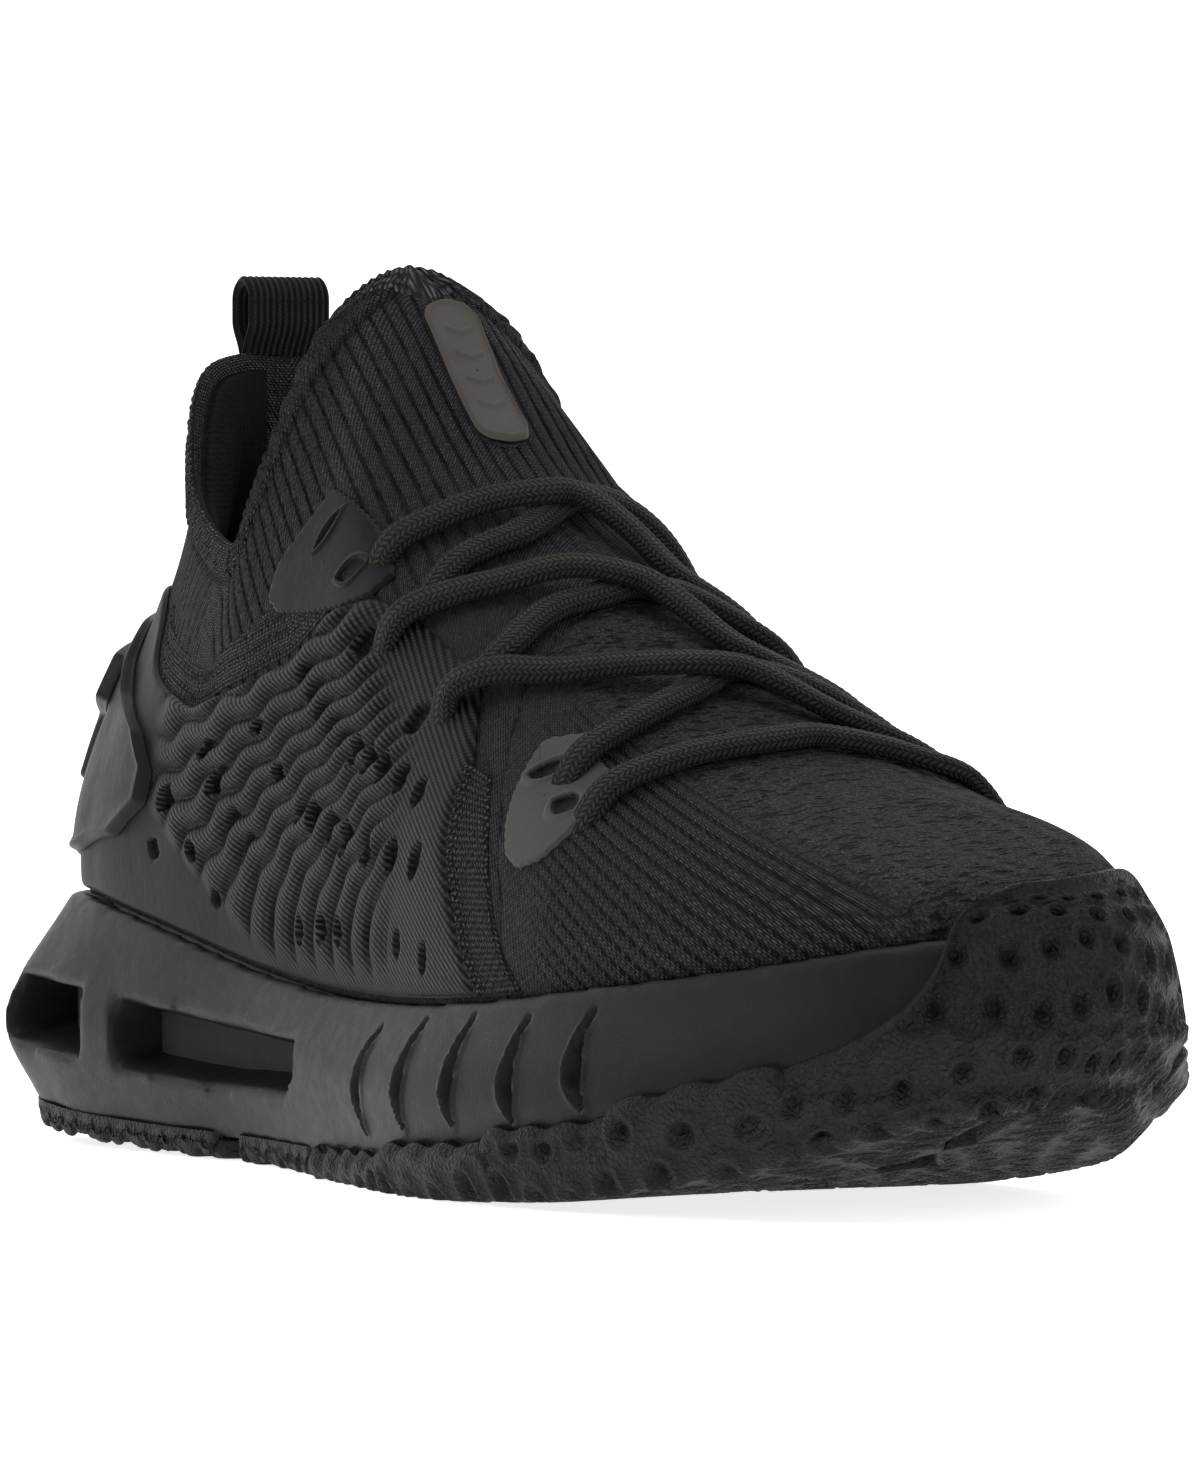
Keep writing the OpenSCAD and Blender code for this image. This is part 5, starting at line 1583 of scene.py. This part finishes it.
def toe_wrap():
    s, t = np.meshgrid(np.linspace(0, 1, 250), np.linspace(0, 1, 195), indexing="ij")
    edge = np.array(TOE_EDGE)
    arc = np.concatenate([[0], np.cumsum(np.hypot(np.diff(edge[:, 0]) * 560, np.diff(edge[:, 1]) * 17))])
    even = s[:, 0] * arc[-1]
    edge_u = np.convolve(np.pad(np.interp(even, arc, edge[:, 0]), 6, "edge"), np.ones(13) / 13, "valid")
    edge_t = np.convolve(np.pad(np.interp(even, arc, edge[:, 1]), 6, "edge"), np.ones(13) / 13, "valid")
    bottom_u = 0.402 + 0.196 * s[:, 0]
    start = -0.97                               # just short of the middle of the underside
    r = start + (edge_t[:, None] - start) * t
    share = step(r / np.maximum(edge_t[:, None], 0.3), -0.2, 1.0) * np.ones_like(r)
    u = bottom_u[:, None] + (edge_u[:, None] - bottom_u[:, None]) * share
    base = sole_wrap(u.ravel(), r.ravel(), True).reshape(u.shape + (3,))
    normal = grid_normal(base)
    middle = np.array([100.0, 3.0, 34.0])
    if (normal * (base - middle)).sum() < 0:
        normal = -normal
    along, up = arc_along(base, 0), arc_along(base, 1)
    inward = np.minimum(np.minimum(up[:, -1:] - up, up), np.minimum(along, along[-1:] - along))
    round_about, climbed = 600 * u, 13 * r
    scallop = 1.3 * np.abs(np.sin(np.pi * round_about / 8.6))
    rise = base[..., 2] + scallop
    layers = step(-rise, -30.5, -29.5) + step(-rise, -22.5, -21.5)
    relief, shaded_pit = craters(round_about, climbed, 8.8)
    dotted = step(inward, 2.0, 4.5) * step(-base[..., 2], -62, -45)
    bevel = np.sqrt(1 - (1 - np.clip(inward / 2.0, 0, 1)) ** 2)
    lip = 0.8 * np.exp(-((inward - 1.4) / 0.7) ** 2) * step(r, 0.2, 0.8)
    height = 0.35 + 1.25 * bevel + lip + 0.9 * layers * step(inward, 1, 3) + relief * dotted
    # The crater pits are painted dark: painted shade.
    obj = shell("outsole_toe_wrap", base, normal, height, -0.5, LOOKS["rubber"],
                values={"shaded_pit": 0.8 * shaded_pit * dotted})
    grow_up(obj, None, ["outsole_toe"])


def edge_points(u0, u1, side, n=12):
    """Points of the sole's bottom edge in plan, from u0 to u1."""
    u = np.linspace(u0, u1, n)
    p = on_loop(BOTTOM, u if side < 0 else 1 - u, 0.6)
    return [tuple(q) for q in p[:, :2]]


def outsole():
    heel = edge_points(0.018, 0.183, -1) + [(-59, -19), (-111, -19), (-119, -5)]
    plan_pod("outsole_lugs_heel_lateral", heel, 6.6, ["outsole_heel_lateral"])
    heel = edge_points(0.018, 0.183, 1) + [(-59, 19), (-111, 19), (-119, 5)]
    plan_pod("outsole_lugs_heel_medial", heel[::-1], 6.6, ["outsole_heel_medial"])
    left = edge_points(0.192, 0.234, -1, 5)
    right = edge_points(0.234, 0.192, 1, 5)
    midfoot = left + [(-15, -30), (-16, -16), (-16, 16), (-15, 30)] + right + [(-49, 20), (-49, -20)]
    plan_pod("outsole_lugs_midfoot", midfoot, 5.2, ["outsole_midfoot"])
    for side in (-1, 1):
        wrap_pods(side)
    toe_wrap()


# ---- the scene -----------------------------------------------------------------

# Finish of the CAD nodes that stay in view
CAD_FINISH = {"cushion_core": "foam_core", "strobel_board": "strobel", "toe_puff": "stiffener",
              "lace_aglets": "aglet"}


def finish_cad_nodes():
    for name, look in CAD_FINISH.items():
        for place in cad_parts[name].material_slots:
            place.material = LOOKS[look]


def glowing_backdrop_look(name, colour):
    """Pale backdrop with the faintest mottling, glowing as painted light: dimmer near the shoe, full white
    far away.
    """
    look = Look(name, colour, 0.9, Specular_IOR_Level=0.1)
    vector, _, _ = look.coordinate("Object")
    cloud = look.noise(0.002, vector, 3)
    look.set("Base Color", look.mix(cloud, colour, tuple(c * 0.99 for c in colour)))
    away = look.node("ShaderNodeVectorMath", out=1, operation="LENGTH", in_0=vector)
    far = look.math("MAXIMUM", look.math("MULTIPLY_ADD", away, 0.0006, -0.5), 0.0)
    far = look.math("MINIMUM", far, 1.0)
    # Painted light: the glow rises from 0.8 near the middle to 1.0 far away.
    look.set("Emission Color", look.mix(far, (0.8, 0.8, 0.8), (1.0, 1.0, 1.0)))
    look.set("Emission Strength", 1.0)
    return look.material


def floor():
    """Floor that curves up into a backdrop behind the camera's view."""
    bend = np.linspace(0, np.pi / 2, 24)
    run = np.concatenate([[-4.8], 3.5 + 2.0 * np.sin(bend), [5.5]])
    rise = np.concatenate([[0], 2.0 * (1 - np.cos(bend)), [7.9]])
    across = np.linspace(-8.8, 8.8, 9)
    points = np.array([(-r, w, h) for r, h in zip(run, rise) for w in across]) / MM
    obj = mesh_object("floor", points, quads(len(run), 9), glowing_backdrop_look("backdrop", (0.96, 0.96, 0.96)))
    obj.rotation_euler[2] = math.radians(-27)


def lamp(name, place, target, size, power, colour=(1, 1, 1)):
    data = bpy.data.lights.new(name, "AREA")
    data.shape = "RECTANGLE"
    data.size, data.size_y = size
    data.energy = power
    data.color = colour
    obj = bpy.data.objects.new(name, data)
    obj.location = place
    obj.rotation_euler = (Vector(target) - Vector(place)).to_track_quat("-Z", "Y").to_euler()
    bpy.context.scene.collection.objects.link(obj)


def lights():
    world = bpy.data.worlds.new("studio")
    world.use_nodes = True
    world.node_tree.nodes["Background"].inputs[0].default_value = (1, 1, 1, 1)
    world.node_tree.nodes["Background"].inputs[1].default_value = 0.14
    bpy.context.scene.world = world
    bpy.context.scene.view_settings.view_transform = "Standard"
    middle = (0.02, 0, 0.07)
    lamp("key", (-0.6, -1.2, 0.8), middle, (1.0, 0.8), 8)
    lamp("top", (0.0, 0.0, 1.4), middle, (1.2, 1.2), 12)
    lamp("right", (1.2, 0.8, 0.7), middle, (0.8, 0.8), 6)
    lamp("low", (1.3, -0.6, 0.4), middle, (0.6, 0.4), 2.5)


def camera():
    """Long lens from the front on the lateral side, just above the floor."""
    turn, lift, distance = math.radians(63.0), math.radians(0.8), 1.5
    target = Vector((0.0162, -0.0067, 0.0705))
    away = Vector((math.sin(turn) * math.cos(lift), -math.cos(turn) * math.cos(lift), math.sin(lift)))
    data = bpy.data.cameras.new("camera")
    data.lens = 233.9
    data.sensor_width = 36
    obj = bpy.data.objects.new("camera", data)
    obj.location = target + away * distance
    obj.rotation_euler = (-away).to_track_quat("-Z", "Y").to_euler()
    bpy.context.scene.collection.objects.link(obj)
    bpy.context.scene.camera = obj


skin = Skin()
make_knit(skin)
for side in (-1, 1):
    quarter_panel(side)
    overlock(side)
    collar_stitch(side, skin)
    ankle_pad(side)
heel_pieces()
eyelet_patches(skin)
badge(skin)
lace(skin)
pull_tab()
tab_anchor()
sockliner()
lining_shell()
midsole()
core()
outsole()
finish_cad_nodes()
floor()
lights()
camera()
